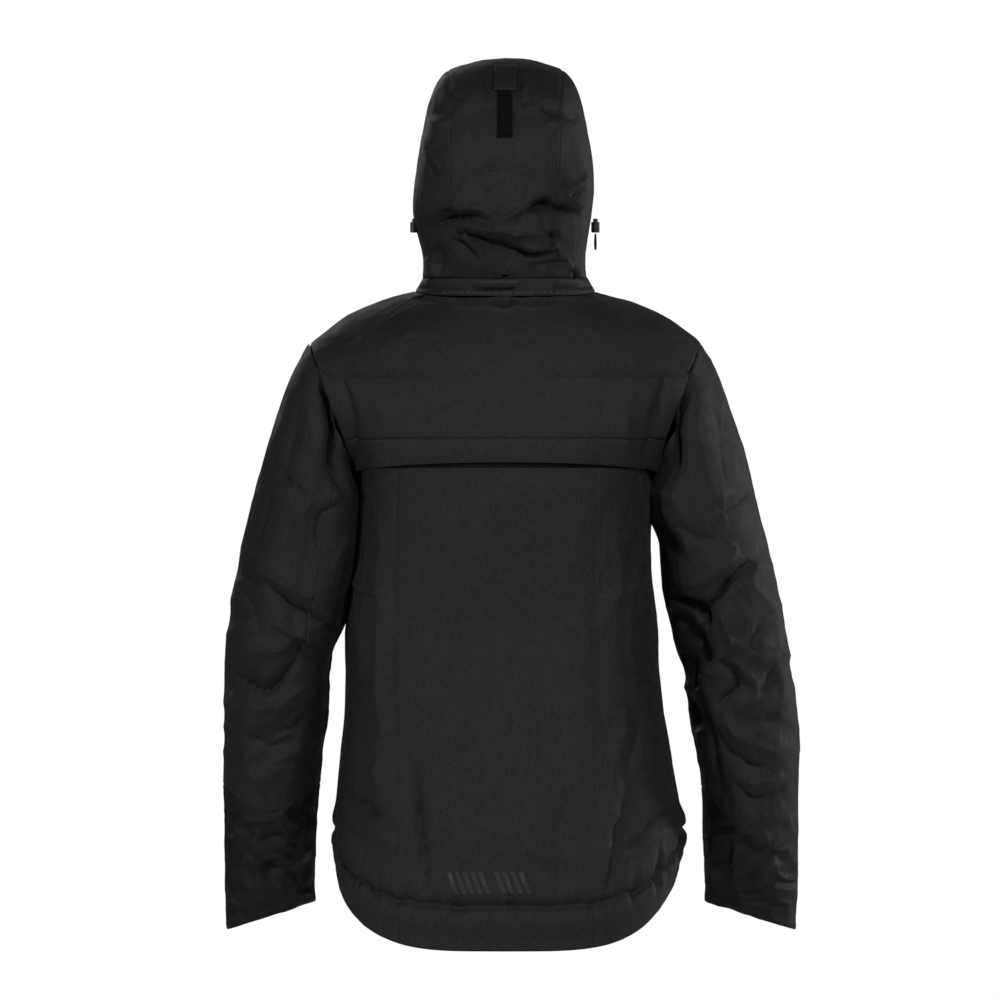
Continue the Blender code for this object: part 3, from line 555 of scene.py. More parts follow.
def facing(n, sign):
    """1 where the surface faces the back (sign 1) or the front (sign -1)."""
    return smooth(-0.15, 0.45, sign * n[..., 1])


def hem_gather(k, phi):
    """The hem gathered on its drawcord: puckers, a sunk channel and a soft roll each side."""
    run = phi * HEM_RADIUS
    coarse = np.abs(noise(stack(run / 0.015 + 0.6 * k, k * 0.8, 0.5), 31))
    fine = np.abs(noise(stack(run / 0.009, k * 1.6, 3.5), 37))
    gather = 0.9 - 2.4 * coarse - 0.8 * fine
    pull = 0.45 + 0.55 * smooth(-0.3, 0.5, noise(stack(run / 0.07, 0.3, 0.2), 39))
    pucker = bell(np.abs(k - 1.0), 0.34, 1.3) * gather * pull
    rolls = 0.0020 * bell(k - 1.26, 0.17) + 0.0024 * bell(k - 0.70, 0.22)
    return 0.0048 * pucker - 0.0044 * bell(k - 1.0, 0.07) + rolls


def torso_relief(half):
    folds = BODY_FOLDS if half > 0 else FRONT_FOLDS

    def relief(p, n, place):
        k, phi = place
        d = crumple(p, 3 if half > 0 else 4)
        d = d + facing(n, half) * fold_height(p[..., 0], p[..., 2], folds) + hem_gather(k, phi)
        # The front lies flat beside the zip.
        return d if half > 0 else d * smooth(0.07, 0.20, np.abs(phi))
    return relief


# The upper sleeve's slack hangs against the body: its lower end and depth, left and right.
SLACK = {1: (-0.415, 0.0125), -1: (-0.290, 0.0115)}
SLACK_TOP = -0.190
SLEEVE_FOLDS = {1: LEFT_FOLDS, -1: RIGHT_FOLDS}
CUFF_RIDGES = (0.034, 0.034, 0.016)
ELBOW_RIDGES = (0.052, 0.052, 0.026)


def sleeve_relief(side):
    """The drawn folds at the back, the other sleeve's mirrored at the front, the slack inside,
    and creases on the cuff and round the elbow."""
    def relief(p, n, place):
        x, z, k = p[..., 0], p[..., 2], place[0]
        d = crumple(p, 11 if side > 0 else 12, 1.5)
        back = facing(n, 1) * fold_height(x, z, SLEEVE_FOLDS[side])
        front = facing(n, -1) * fold_height(-x, z - 0.02, SLEEVE_FOLDS[-side])
        low, full = SLACK[side]
        slack = smooth(low, low + 0.045, z) * smooth(SLACK_TOP, SLACK_TOP - 0.045, z)
        d = d + full * slack * smooth(0.1, 0.7, -side * n[..., 0])
        cuffed = smooth(10.5, 11.3, k) * facing(n, 1)
        bent = p + 0.006 * noise(p / 0.02, 57)[..., None]
        d = d + 0.0026 * cuffed * ridges(bent, CUFF_RIDGES, 51 + side)
        elbow = smooth(4.0, 6.0, k) * smooth(10.4, 9.4, k)
        slope = p + stack(0, 0, 0.6 * side * x)
        d = d + 0.0020 * elbow * ridges(slope, ELBOW_RIDGES, 61 + side)
        return d + back + 0.8 * front * (1 - 0.9 * smooth(10.0, 10.8, k))
    return relief


def hood_relief(p, n, place):
    """Folds at the back, and the left side's slack, which stands a little out."""
    d = 0.9 * crumple(p, 21)
    d = d + facing(n, 1) * fold_height(p[..., 0], p[..., 2], HOOD_FOLDS)
    left = smooth(0.06, 0.10, p[..., 0]) * bell(p[..., 2] - 0.085, 0.035)
    return d + 0.006 * left


def collar_relief(p, n, place):
    """A fold right round the back of the neck, deepest at its sides."""
    sag = 0.0022 * noise(stack(p[..., 0] / 0.03, 0.4, 0.4), 26)
    fold = bell(p[..., 2] - 0.0035 + sag, 0.0022) * facing(n, 1)
    wing = smooth(0.040, 0.062, np.abs(p[..., 0]))
    return crumple(p, 25) - 0.0026 * fold * (0.25 + 0.75 * wing)


def lean(p):
    """Both arms hang a little towards the wearer's right, and the waist the other way."""
    outside = smooth(0.175, 0.215, np.abs(p[..., 0]))
    arm = outside * smooth(-0.22, -0.60, p[..., 2])
    waist = (1 - outside) * bell(p[..., 2] + 0.40, 0.07)
    q = p.copy()
    q[..., 0] += WAIST_LEAN * waist - ARM_LEAN * arm
    return q


# ---------------------------------------------------------------- building pieces
# Points on the inner side of each part of the jacket, which tell its normals where to point.
def inside_torso(p):
    return stack(0.0, 0.0, p[..., 2])


def inside_shoulder(p):
    return stack(0.6 * p[..., 0], 0.0, -0.16)


def inside_hood(p):
    return stack(0.0, -0.02, 0.11)


def inside_arm(side):
    def middle(p):
        down = np.clip(-(p[..., 2] + 0.13) / 0.4, 0, 1)
        low = np.clip(-(p[..., 2] + 0.4) / 0.3, 0, 1)
        return stack(side * (0.20 + 0.07 * down), -0.01 - 0.06 * low, p[..., 2])
    return middle


def outward(n, p, inside):
    """The normals, turned so that taken together they point away from the inside."""
    return n * (-1.0 if ((p - inside(p)) * n).sum() < 0 else 1.0)


class Patch:
    """A sewn panel's surface. base gives points and their places for u and v from 0 to 1,
    relief the height of the folds there, and inside a point on the inner side of each."""

    def __init__(self, base, relief, inside):
        self.base, self.relief, self.inside = base, relief, inside

    def skin(self, u, v, lift=0.0):
        """Points and normals of the surface with its folds."""
        e = 0.002
        p, place = self.base(u, v)
        across = self.base(u + e, v)[0] - self.base(u - e, v)[0]
        along = self.base(u, v + e)[0] - self.base(u, v - e)[0]
        n = outward(unit(np.cross(across, along)), p, self.inside)
        d = self.relief(p, n, place) + lift
        return lean(p + n * d[..., None]), n


def marks(length, rim):
    """Places from 0 to 1, close together at both ends."""
    near = np.array((0, 0.0004, 0.0010, 0.0018, 0.0030)) / max(length, 0.02)
    near = near[near < 0.3]
    if not rim:
        return np.linspace(0, 1, max(4, int(length / GRID)) + 1)
    count = max(3, int(length / GRID))
    middle = np.linspace(near[-1], 1 - near[-1], count + 1)[1:-1]
    return np.concatenate([near, middle, 1 - near[::-1]])


def patch_lengths(base):
    """Lengths across and along the middle of a patch."""
    s = np.linspace(0, 1, 25)
    h = np.full(25, 0.5)
    across = np.linalg.norm(np.diff(base(s, h)[0], axis=0), axis=1).sum()
    along = np.linalg.norm(np.diff(base(h, s)[0], axis=0), axis=1).sum()
    return across, along


def mesh_object(name, verts, faces, mats, index=None):
    """A smooth mesh in the scene. index says which material each face has."""
    mesh = bpy.data.meshes.new(name)
    mesh.from_pydata(np.asarray(verts).tolist(), [], faces)
    for mat in mats:
        mesh.materials.append(mat)
    if index is not None:
        mesh.polygons.foreach_set("material_index", np.asarray(index, np.int32))
    mesh.polygons.foreach_set("use_smooth", np.ones(len(mesh.polygons), bool))
    mesh.update()
    obj = bpy.data.objects.new(name, mesh)
    bpy.context.scene.collection.objects.link(obj)
    return obj


def add_map(obj, places):
    """The cloth's own map, in metres along and across it, which the weave follows."""
    layer = obj.data.uv_layers.new(name="cloth")
    corners = np.empty(len(obj.data.loops), np.int32)
    obj.data.loops.foreach_get("vertex_index", corners)
    layer.data.foreach_set("uv", places[corners].astype(np.float32).ravel())


def quads(nr, nc, closed, flip, base=0):
    """The faces of a grid of nr by nc points, where closed joins the last column to the first."""
    j = np.arange(nc if closed else nc - 1)
    i = np.arange(nr - 1)[:, None]
    a = i * nc + j
    b = i * nc + (j + 1) % nc
    q = np.stack([a, b, b + nc, a + nc], -1).reshape(-1, 4) + base
    return q[:, ::-1] if flip else q


def turned(wall, flip):
    """The face, or the same face seen from its other side."""
    return wall[::-1] if flip else wall


def edge_walls(nr, nc, closed, flip):
    """The faces that join the outer skin to the inner one round a grid of points."""
    count = nr * nc
    walls = []
    for i, over in ((0, flip), (nr - 1, not flip)):
        for j in range(nc if closed else nc - 1):
            a = i * nc + j
            b = i * nc + (j + 1) % nc
            walls.append(turned((a, a + count, b + count, b), over))
    if closed:
        return walls
    for j, over in ((0, flip), (nc - 1, not flip)):
        for i in range(nr - 1):
            a = i * nc + j
            b = a + nc
            walls.append(turned((a, b, b + count, a + count), over))
    return walls


def runs(p, axis):
    """Distance along the rows or columns of a grid of points, from their first point."""
    steps = np.linalg.norm(np.diff(p, axis=axis), axis=2)
    first = np.zeros((len(p), 1) if axis else (1, p.shape[1]))
    return np.concatenate([first, np.cumsum(steps, axis=axis)], axis=axis)


def cut_size(flat, p, closed):
    """Width, length and area of the flat cloth that a panel was cut from."""
    nc = p.shape[1]
    width = np.linalg.norm(np.diff(flat, axis=1), axis=2).sum(axis=1).max()
    length = np.linalg.norm(np.diff(flat, axis=0), axis=2).sum(axis=0).max()
    along = p[:-1, 1:] - p[:-1, :-1]
    up = p[1:, :-1] - p[:-1, :-1]
    area = np.linalg.norm(np.cross(along, up), axis=2).sum()
    if closed:
        width *= (nc + 1) / nc
        area *= nc / (nc - 1)
    return float(width), float(length), float(area)


def cloth(name, patch, skins, closed=False, lift=0.0, thick=CLOTH, roll=SEAM_ROLL,
          rims=(1, 1, 1, 1), shift=None):
    """A sewn panel: an outer and an inner skin, with its edges turned in at the seams.
    rims says which edges turn in: low u, high u, low v, high v. Gives it and its cut size."""
    across, along = patch_lengths(patch.base)
    us = marks(across, not closed)
    if closed:
        us = us[:-1]
    u, v = np.meshgrid(us, marks(along, True))
    p, n = patch.skin(u, v, lift)
    if shift is not None:
        p = shift(p, n, u, v)
    run_u, run_v = runs(p, 1), runs(p, 0)
    borders = [run_u, run_u[:, -1:] - run_u, run_v, run_v[-1:] - run_v]
    edge = np.full(u.shape, 1.0)
    for rim, border in list(zip(rims, borders))[2 if closed else 0:]:
        if rim:
            edge = np.minimum(edge, border)
    turn = np.clip(1 - edge / 0.0024, 0, 1) ** 2
    swell = bell(edge - 0.0045, 0.0022)
    depth = roll(u, v) if callable(roll) else roll
    outer = p + n * (depth * (0.3 * swell - turn))[..., None]
    inner = p - n * thick
    nr, nc = u.shape
    du = outer[nr // 2, (nc // 2 + 1) % nc] - outer[nr // 2, nc // 2]
    dv = outer[nr // 2 + 1, nc // 2] - outer[nr // 2, nc // 2]
    flip = bool(np.dot(np.cross(du, dv), n[nr // 2, nc // 2]) < 0)
    top = quads(nr, nc, closed, flip)
    under = quads(nr, nc, closed, not flip, nr * nc)
    walls = edge_walls(nr, nc, closed, flip)
    faces = top.tolist() + under.tolist() + walls
    index = [0] * len(top) + [1] * len(under) + [0] * len(walls)
    verts = np.concatenate([outer.reshape(-1, 3), inner.reshape(-1, 3)])
    obj = mesh_object(name, verts, faces, skins, index)
    obj.data.set_sharp_from_angle(angle=math.radians(58))
    add_map(obj, np.tile(np.stack([run_u, run_v], -1).reshape(-1, 2), (2, 1)))
    return obj, cut_size(patch.base(u, v)[0], p, closed)


def follow(obj, body, blend=None):
    """The piece rides on one body. A piece with a blend is only baked in place and rides on none.
    """
    if blend:
        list(blend[:2])
        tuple(blend[2])
        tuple(blend[3])
        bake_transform(obj)
    else:
        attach(obj, body)


def declare(obj, body, slot, *nodes, blend=None):
    """Says what a piece follows and which nodes it stands for; slot, what it is made of, is not
    used.
    """
    follow(obj, body, blend)
    if nodes:
        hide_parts(*nodes)


def add_panel(name, patch, skins, body, slot, *nodes, blend=None, **how):
    """A sewn panel on its body. Its cut size is worked out but not kept."""
    obj, (w, l, area) = cloth(name, patch, skins, **how)
    declare(obj, body, slot, *nodes, blend=blend)


# ---------------------------------------------------------------- materials
class Nodes:
    """A small helper that wires shader nodes."""

    def __init__(self, name, colour, rough, **extra):
        self.mat = bpy.data.materials.new(name)
        self.mat.use_nodes = True
        self.tree = self.mat.node_tree
        self.shader = self.tree.nodes["Principled BSDF"]
        self.shader.inputs["Base Color"].default_value = (*colour, 1)
        self.shader.inputs["Roughness"].default_value = rough
        for key, value in extra.items():
            self.shader.inputs[key.replace("_", " ")].default_value = value
        self.colour = colour
        self.place = self.node("ShaderNodeTexCoord").outputs["Object"]

    def node(self, kind, **values):
        made = self.tree.nodes.new(kind)
        for key, value in values.items():
            if hasattr(made, key):
                setattr(made, key, value)
            else:
                made.inputs[key].default_value = value
        return made

    def link(self, a, b):
        self.tree.links.new(a, b)

    def math(self, how, a, b=None):
        made = self.node("ShaderNodeMath", operation=how)
        for socket, value in zip(made.inputs, (a, b)):
            if value is None:
                continue
            if hasattr(value, "links"):
                self.link(value, socket)
            else:
                socket.default_value = value
        return made.outputs[0]

    def noise(self, scale, detail=2.0, stretch=None):
        made = self.node("ShaderNodeTexNoise", Scale=scale, Detail=detail)
        place = self.place
        if stretch:
            mapping = self.node("ShaderNodeMapping")
            mapping.inputs["Scale"].default_value = stretch
            self.link(place, mapping.inputs["Vector"])
            place = mapping.outputs["Vector"]
        self.link(place, made.inputs["Vector"])
        return made.outputs["Fac"]

    def weave(self, pitch, diagonal=0.0):
        """Height of a plain weave, or of a twill where diagonal is given, on the cloth's map."""
        uv = self.node("ShaderNodeUVMap", uv_map="cloth").outputs["UV"]
        parts = self.node("ShaderNodeSeparateXYZ")
        self.link(uv, parts.inputs[0])
        turn = 2 * math.pi / pitch
        x = self.math("MULTIPLY", parts.outputs[0], turn)
        y = self.math("MULTIPLY", parts.outputs[1], turn)
        if diagonal:
            x = self.math("ADD", x, self.math("MULTIPLY", y, diagonal))
        a = self.math("SINE", x)
        b = self.math("SINE", y)
        return self.math("MULTIPLY", a, b)

    def ramp(self, fac, low, high):
        """Spreads a pattern's middle range over low to high."""
        made = self.node("ShaderNodeMapRange")
        self.link(fac, made.inputs["Value"])
        limits = {"From Min": 0.3, "From Max": 0.7, "To Min": low, "To Max": high}
        for socket, value in limits.items():
            made.inputs[socket].default_value = value
        return made.outputs[0]

    def vary_colour(self, fac, low, high):
        """Multiplies the base colour by low to high."""
        blend = self.node("ShaderNodeMix", data_type="RGBA", blend_type="MULTIPLY")
        blend.inputs[0].default_value = 1.0
        blend.inputs[6].default_value = (*self.colour, 1)
        self.link(self.ramp(fac, low, high), blend.inputs[7])
        self.link(blend.outputs[2], self.shader.inputs["Base Color"])

    def vary_rough(self, fac, low, high):
        self.link(self.ramp(fac, low, high), self.shader.inputs["Roughness"])

    def bump(self, *layers):
        """Each layer is a height socket and its size in metres."""
        normal = None
        for height, size in layers:
            made = self.node("ShaderNodeBump", Strength=1.0, Distance=size)
            self.link(height, made.inputs["Height"])
            if normal:
                self.link(normal, made.inputs["Normal"])
            normal = made.outputs["Normal"]
        self.link(normal, self.shader.inputs["Normal"])
        return self.mat


def material_shell():
    n = Nodes("laminated_shell_cloth", (0.0135, 0.0135, 0.0138), 0.60,
              Sheen_Weight=0.03, Sheen_Roughness=0.4, Specular_IOR_Level=0.28)
    grain = n.noise(430.0, 3.0, stretch=(1.0, 1.0, 0.45))
    mottle = n.noise(60.0, 3.0)
    n.vary_colour(n.math("ADD", n.math("MULTIPLY", grain, 0.8),
                         n.math("MULTIPLY", mottle, 0.2)), 0.50, 1.50)
    n.vary_rough(mottle, 0.54, 0.68)
    return n.bump((n.weave(0.0011), 0.00007), (grain, 0.00026), (mottle, 0.0007))


def material_panel():
    n = Nodes("smooth_panel_cloth", (0.0062, 0.0062, 0.0066), 0.55,
              Sheen_Weight=0.01, Sheen_Roughness=0.5, Specular_IOR_Level=0.24)
    grain = n.noise(500.0, 3.0, stretch=(1.0, 1.0, 0.5))
    mottle = n.noise(70.0, 3.0)
    n.vary_colour(n.math("ADD", n.math("MULTIPLY", grain, 0.6),
                         n.math("MULTIPLY", mottle, 0.4)), 0.6, 1.4)
    n.vary_rough(mottle, 0.48, 0.60)
    return n.bump((n.weave(0.0009, 0.5), 0.00005), (grain, 0.0001), (mottle, 0.0003))


def material_backer():
    n = Nodes("knit_backer", (0.0135, 0.0135, 0.0140), 0.85, Sheen_Weight=0.25,
              Specular_IOR_Level=0.2)
    grain = n.noise(700.0, 2.0)
    n.vary_colour(grain, 0.8, 1.2)
    return n.bump((n.weave(0.0016), 0.00014), (grain, 0.0002))


def material_mesh():
    n = Nodes("vent_mesh_cloth", (0.006, 0.006, 0.006), 0.9, Specular_IOR_Level=0.15)
    cells = n.node("ShaderNodeTexVoronoi", feature="DISTANCE_TO_EDGE", Scale=420.0)
    n.link(n.place, cells.inputs["Vector"])
    hole = n.math("LESS_THAN", cells.outputs["Distance"], 0.16)
    n.vary_colour(hole, 0.35, 1.3)
    return n.bump((hole, 0.0004))


def material_pile():
    n = Nodes("loop_pile", (0.0016, 0.0016, 0.0017), 0.95, Sheen_Weight=0.04,
              Sheen_Roughness=0.6, Specular_IOR_Level=0.06)
    grain = n.noise(1500.0, 3.0)
    clumps = n.noise(420.0, 2.0)
    n.vary_colour(clumps, 0.2, 4.5)
    return n.bump((grain, 0.0005), (clumps, 0.0006))


def material_thread(name, colour):
    n = Nodes(name, colour, 0.55, Sheen_Weight=0.15, Specular_IOR_Level=0.4)
    twist = n.noise(2400.0, 1.0)
    n.vary_colour(twist, 0.75, 1.25)
    return n.bump((twist, 0.00008))


def material_tape():
    n = Nodes("coated_zip_tape", (0.010, 0.010, 0.0105), 0.40, Specular_IOR_Level=0.5)
    grain = n.noise(1200.0, 2.0)
    n.vary_colour(grain, 0.85, 1.15)
    n.vary_rough(n.noise(90.0, 2.0), 0.34, 0.50)
    return n.bump((n.weave(0.0007), 0.00006), (grain, 0.00008))


def material_metal():
    n = Nodes("blackened_metal", (0.035, 0.035, 0.037), 0.38, Metallic=0.9)
    scuff = n.noise(350.0, 4.0, stretch=(1.0, 1.0, 0.25))
    n.vary_colour(scuff, 0.7, 1.5)
    n.vary_rough(scuff, 0.28, 0.5)
    return n.bump((scuff, 0.00008))


def material_moulded():
    n = Nodes("moulded_nylon", (0.012, 0.012, 0.0125), 0.42, Specular_IOR_Level=0.5)
    spark = n.noise(1800.0, 2.0)
    n.vary_colour(n.noise(150.0, 2.0), 0.85, 1.2)
    n.vary_rough(n.noise(200.0, 2.0), 0.34, 0.52)
    return n.bump((spark, 0.00007))


def material_cord():
    n = Nodes("braided_cord", (0.016, 0.016, 0.0165), 0.7, Sheen_Weight=0.2,
              Specular_IOR_Level=0.3)
    braid = n.node("ShaderNodeTexWave", bands_direction="DIAGONAL", Scale=900.0, Distortion=1.0)
    n.link(n.place, braid.inputs["Vector"])
    n.vary_colour(braid.outputs["Fac"], 0.6, 1.4)
    return n.bump((braid.outputs["Fac"], 0.0002))


def material_reflective():
    n = Nodes("reflective_print", (0.030, 0.030, 0.032), 0.46, Metallic=0.1,
              Specular_IOR_Level=0.35)
    beads = n.noise(2600.0, 1.0)
    n.vary_colour(beads, 0.8, 1.3)
    n.vary_rough(n.noise(140.0, 3.0), 0.40, 0.60)
    return n.bump((beads, 0.00005))


SHELL = material_shell()
PANEL = material_panel()
BACKER = material_backer()
MESH = material_mesh()
PILE = material_pile()
THREAD = material_thread("sewing_thread", (0.020, 0.020, 0.021))
BAR_THREAD = material_thread("bartack_thread", (0.060, 0.060, 0.062))
TAPE = material_tape()
METAL = material_metal()
MOULDED = material_moulded()
CORD = material_cord()
REFLECT = material_reflective()
SHELL_SKINS = (SHELL, BACKER)
PANEL_SKINS = (PANEL, BACKER)


# ---------------------------------------------------------------- camera and light
CAMERA_PLACE = (0.0056, 20.0, -0.237)
LENS_MM = 637
SENSOR_MM = 36
CLIP_END = 100
FLOOR_Z = -1.0
FLOOR_RADIUS = 1.5
AMBIENT = 0.05
WHITE = (1, 1, 1, 1)
# Name, place, aim, size in metres and power in watts of each light.
LIGHTS = [
    ("key", (-0.8, 2.5, 1.25), (0, 0, -0.2), (0.35, 0.35), 29),
    ("side_left", (2.9, 2.4, 0.4), (0.1, 0, -0.3), (0.4, 1.0), 42),
    ("side_right", (-2.5, 2.7, 0.3), (-0.1, 0, -0.4), (0.4, 1.0), 16),
    ("rim_left", (1.6, -3.0, 1.3), (0.1, 0, -0.2), (0.3, 1.6), 3),
    ("rim_right", (-2.7, -1.2, 0.2), (-0.2, 0, -0.3), (0.2, 1.2), 24),
    ("front", (0.9, -3.6, 1.0), (0, 0, -0.4), (1.6, 1.6), 16),
]


def add_camera():
    cam = bpy.data.cameras.new("camera")
    cam.lens = LENS_MM
    cam.sensor_width = SENSOR_MM
    cam.clip_end = CLIP_END
    obj = bpy.data.objects.new("camera", cam)
    obj.location = CAMERA_PLACE
    obj.rotation_euler = (QUARTER, 0, math.pi)
    bpy.context.scene.collection.objects.link(obj)
    bpy.context.scene.camera = obj


def add_area(name, place, aim, size, power):
    """A rectangular lamp at one place that faces another."""
    light = bpy.data.lights.new(name, "AREA")
    light.shape = "RECTANGLE"
    light.size, light.size_y = size
    light.energy = power
    obj = bpy.data.objects.new(name, light)
    obj.location = place
    bpy.context.scene.collection.objects.link(obj)
    away = np.array(aim, float) - np.array(place, float)
    obj.rotation_euler = Vector(away).to_track_quat("-Z", "Y").to_euler()


def add_world(strength):
    """Even light from all round, and white where the camera sees past the floor."""
    world = bpy.data.worlds.new("studio")
    world.use_nodes = True
    bpy.context.scene.world = world
    tree = world.node_tree
    back = tree.nodes["Background"]
    back.inputs["Color"].default_value = WHITE
    back.inputs["Strength"].default_value = strength
    seen = tree.nodes.new("ShaderNodeBackground")
    seen.inputs["Color"].default_value = WHITE
    seen.inputs["Strength"].default_value = 1.0
    path = tree.nodes.new("ShaderNodeLightPath")
    choice = tree.nodes.new("ShaderNodeMixShader")
    tree.links.new(path.outputs["Is Camera Ray"], choice.inputs[0])
    tree.links.new(back.outputs[0], choice.inputs[1])
    tree.links.new(seen.outputs[0], choice.inputs[2])
    tree.links.new(choice.outputs[0], tree.nodes["World Output"].inputs["Surface"])


def add_floor():
    """A plain round floor below the jacket."""
    count = 96
    turn = 2 * math.pi * np.arange(count) / count
    verts = [(FLOOR_RADIUS * math.cos(a), FLOOR_RADIUS * math.sin(a), FLOOR_Z) for a in turn]
    n = Nodes("studio_floor", (0.82, 0.82, 0.82), 0.8)
    obj = mesh_object("studio_floor", verts, [tuple(range(count))], [n.mat])


def add_studio():
    add_camera()
    add_floor()
    add_world(AMBIENT)
    for light in LIGHTS:
        add_area(*light)
    bpy.context.scene.view_settings.view_transform = "Standard"


# ---------------------------------------------------------------- the hood's cord
def hood_lock_foot():
    """The right cord lock's foot, where the cord comes out of it."""
    p = hood(np.array(3.6), np.array(0.80)) * np.array((-1, 1, 1))
    return p + np.array((-0.0065, 0, -0.006))


def add_hood_cord():
    """The elastic's free loop, which hangs from the right lock."""
    route = hood_lock_foot() + np.array(CORD_ROUTE) * MM
    points = through(route, 30)
    length = float(np.linalg.norm(np.diff(points, axis=0), axis=1).sum())
    curve = bpy.data.curves.new("hood_cord", "CURVE")
    curve.dimensions = "3D"
    curve.bevel_depth = CORD_R
    curve.bevel_resolution = 4
    curve.use_fill_caps = True
    line = curve.splines.new("POLY")
    line.points.add(len(points) - 1)
    for point, place in zip(line.points, points):
        point.co = (*[float(c) for c in place], 1.0)
    curve.materials.append(CORD)
    obj = bpy.data.objects.new("hood_elastic", curve)
    bpy.context.scene.collection.objects.link(obj)
    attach(obj, "hood")
    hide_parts("hood_cord_R")


# ---------------------------------------------------------------- torso
def patch_torso(half, k_low, k_high, phi_low, phi_high, inside=inside_torso):
    """A panel between two torso rows and two edges, which are angles for each row."""
    def base(u, v):
        k = mix(k_low(u) if callable(k_low) else k_low, k_high, v)
        phi = mix(phi_low(k), phi_high(k), u)
        return torso(half, k, phi), (k, phi)
    return Patch(base, torso_relief(half), inside)


def stitch_row(lines, length=0.0026, gap=0.0010, radius=0.00026):
    """Vertices and faces of short sunk stitches along lines of (points, normals)."""
    verts, faces = [], []
    for points, normals in lines:
        run = np.concatenate([[0], np.cumsum(np.linalg.norm(np.diff(points, axis=0), axis=1))])
        count = max(1, int(run[-1] / (length + gap)))
        step = run[-1] / count
        start = np.arange(count) * step
        for s in start:
            spots = s + np.array((0.0, 0.2, 0.8, 1.0)) * length
            mid = np.stack([np.interp(spots, run, points[:, i]) for i in range(3)], -1)
            nrm = np.stack([np.interp(spots, run, normals[:, i]) for i in range(3)], -1)
            nrm /= np.linalg.norm(nrm, axis=1, keepdims=True)
            along = mid[-1] - mid[0]
            along /= max(np.linalg.norm(along), 1e-9)
            side = np.cross(along, nrm[0])
            first = len(verts)
            for i, (wide, deep) in enumerate(((0.35, -0.9), (1, 0.35), (1, 0.35), (0.35, -0.9))):
                centre = mid[i] + nrm[i] * radius * deep
                for c, s2 in ((1, 0), (0, 0.8), (-1, 0), (0, -0.8)):
                    verts.append(centre + (side * c + nrm[i] * s2) * radius * wide)
            for i in range(3):
                for j in range(4):
                    a, b = first + 4 * i + j, first + 4 * i + (j + 1) % 4
                    faces.append((a, b, b + 4, a + 4))
            faces.append((first + 3, first + 2, first + 1, first))
            faces.append((first + 12, first + 13, first + 14, first + 15))
    return verts, faces


def add_stitches(name, lines, body, mat=THREAD, **sizes):
    verts, faces = stitch_row(lines, **sizes)
    declare(mesh_object(name, verts, faces, [mat]), body, "cord")


TAGS = ((1, "L"), (-1, "R"))
BACK = patch_torso(1, 1.0, VENT_LOW_K, lambda k: -row_phi(BACK_SEAM_X[-1], k),
                   lambda k: row_phi(BACK_SEAM_X[1], k))
YOKE = patch_torso(1, VENT_K, TOP_K, lambda k: -edge_phi(k), edge_phi, inside_shoulder)
VENT_MESH = patch_torso(1, VENT_LOW_K - 0.15, VENT_K, constant(-QUARTER), constant(QUARTER))


def side_patch(side):
    return patch_torso(1, 1.0, VENT_LOW_K, lambda k: side * row_phi(BACK_SEAM_X[side], k),
                       constant(side * QUARTER))


def front_patch(side):
    return patch_torso(-1, 1.0, TOP_K, lambda k: side * row_phi(ZIP_HALF, k),
                       lambda k: side * edge_phi(k))


def hem_edge(side):
    """Where the back hem's facing meets the side's, 2 mm inside the seam."""
    return lambda k: side * row_phi(BACK_SEAM_X[side] - 0.002, k)


def hem_side_patch(side):
    return patch_torso(1, 0.0, 1.0, hem_edge(side), constant(side * QUARTER))


def hem_front_patch(side):
    return patch_torso(-1, 0.0, 1.0, lambda k: side * row_phi(ZIP_HALF, k),
                       constant(side * QUARTER))


HEM_MIDDLE = patch_torso(1, 0.0, 1.0, hem_edge(-1), hem_edge(1))


def cap_patch(side):
    """The shoulder cap, which goes over the top from the front seam to the back one."""
    def base(u, v):
        kb = mix(TOP_K, float(CAP_ROWS[0]), v)
        kr = mix(TOP_K, 15.0, v)
        across = np.abs(2 * u - 1)
        phi = mix(QUARTER, cap_edge(kb), across)
        k = mix(kr, kb, across)
        front = torso(-1, k, side * phi)
        back = torso(1, k, side * phi)
        return np.where((u < 0.5)[..., None], front, back), (k, phi)
    return Patch(base, lambda p, n, place: crumple(p, 3), inside_shoulder)


def vent_edge(u):
    """Torso row of the flap's free edge, lower at both ends."""
    return 9.95 - 0.55 * np.abs(2 * u - 1) ** 1.5


VENT_TURN = math.radians(84)
VENT = patch_torso(1, vent_edge, VENT_K, constant(-VENT_TURN), constant(VENT_TURN))


def vent_shift(p, n, u, v):
    """The flap's free edge stands off the mesh, more in some places than in others."""
    wave = 0.0012 * np.sin(u * 19.0 + 0.7) + 0.0010 * np.sin(u * 41.0)
    lift = 0.0012 + (0.0040 + wave) * (1 - v) ** 1.3
    return p + n * lift[..., None]


def add_torso():
    def build(name, patch, node, skins=SHELL_SKINS, slot="shell_cloth", **how):
        add_panel(name, patch, skins, "jacket", slot, node, **how)

    seam = dict(rims=(1, 1, 0, 1), roll=FLAT_SEAM)
    facing_rims = (1, 1, 1, 0)
    build("lower_back_panel", BACK, "back_panel", **seam)
    build("yoke_panel", YOKE, "back_yoke")
    build("vent_mesh_panel", VENT_MESH, "vent_mesh", (MESH, MESH), "mesh_cloth", lift=-0.0012,
          rims=(0, 0, 0, 0))
    for side, tag in TAGS:
        build("side_back_panel_" + tag, side_patch(side), "side_back_" + tag, **seam)
        build("front_body_panel_" + tag, front_patch(side), "front_panel_" + tag, rims=(1, 1, 0, 1))
        build("front_hem_facing_" + tag, hem_front_patch(side), "hem_front_" + tag,
              rims=facing_rims)
        build("shoulder_panel_" + tag, cap_patch(side), "shoulder_cap_" + tag)
        build("side_hem_facing_" + tag, hem_side_patch(side), "hem_back", rims=facing_rims)
    build("back_hem_facing", HEM_MIDDLE, "hem_back", rims=facing_rims)


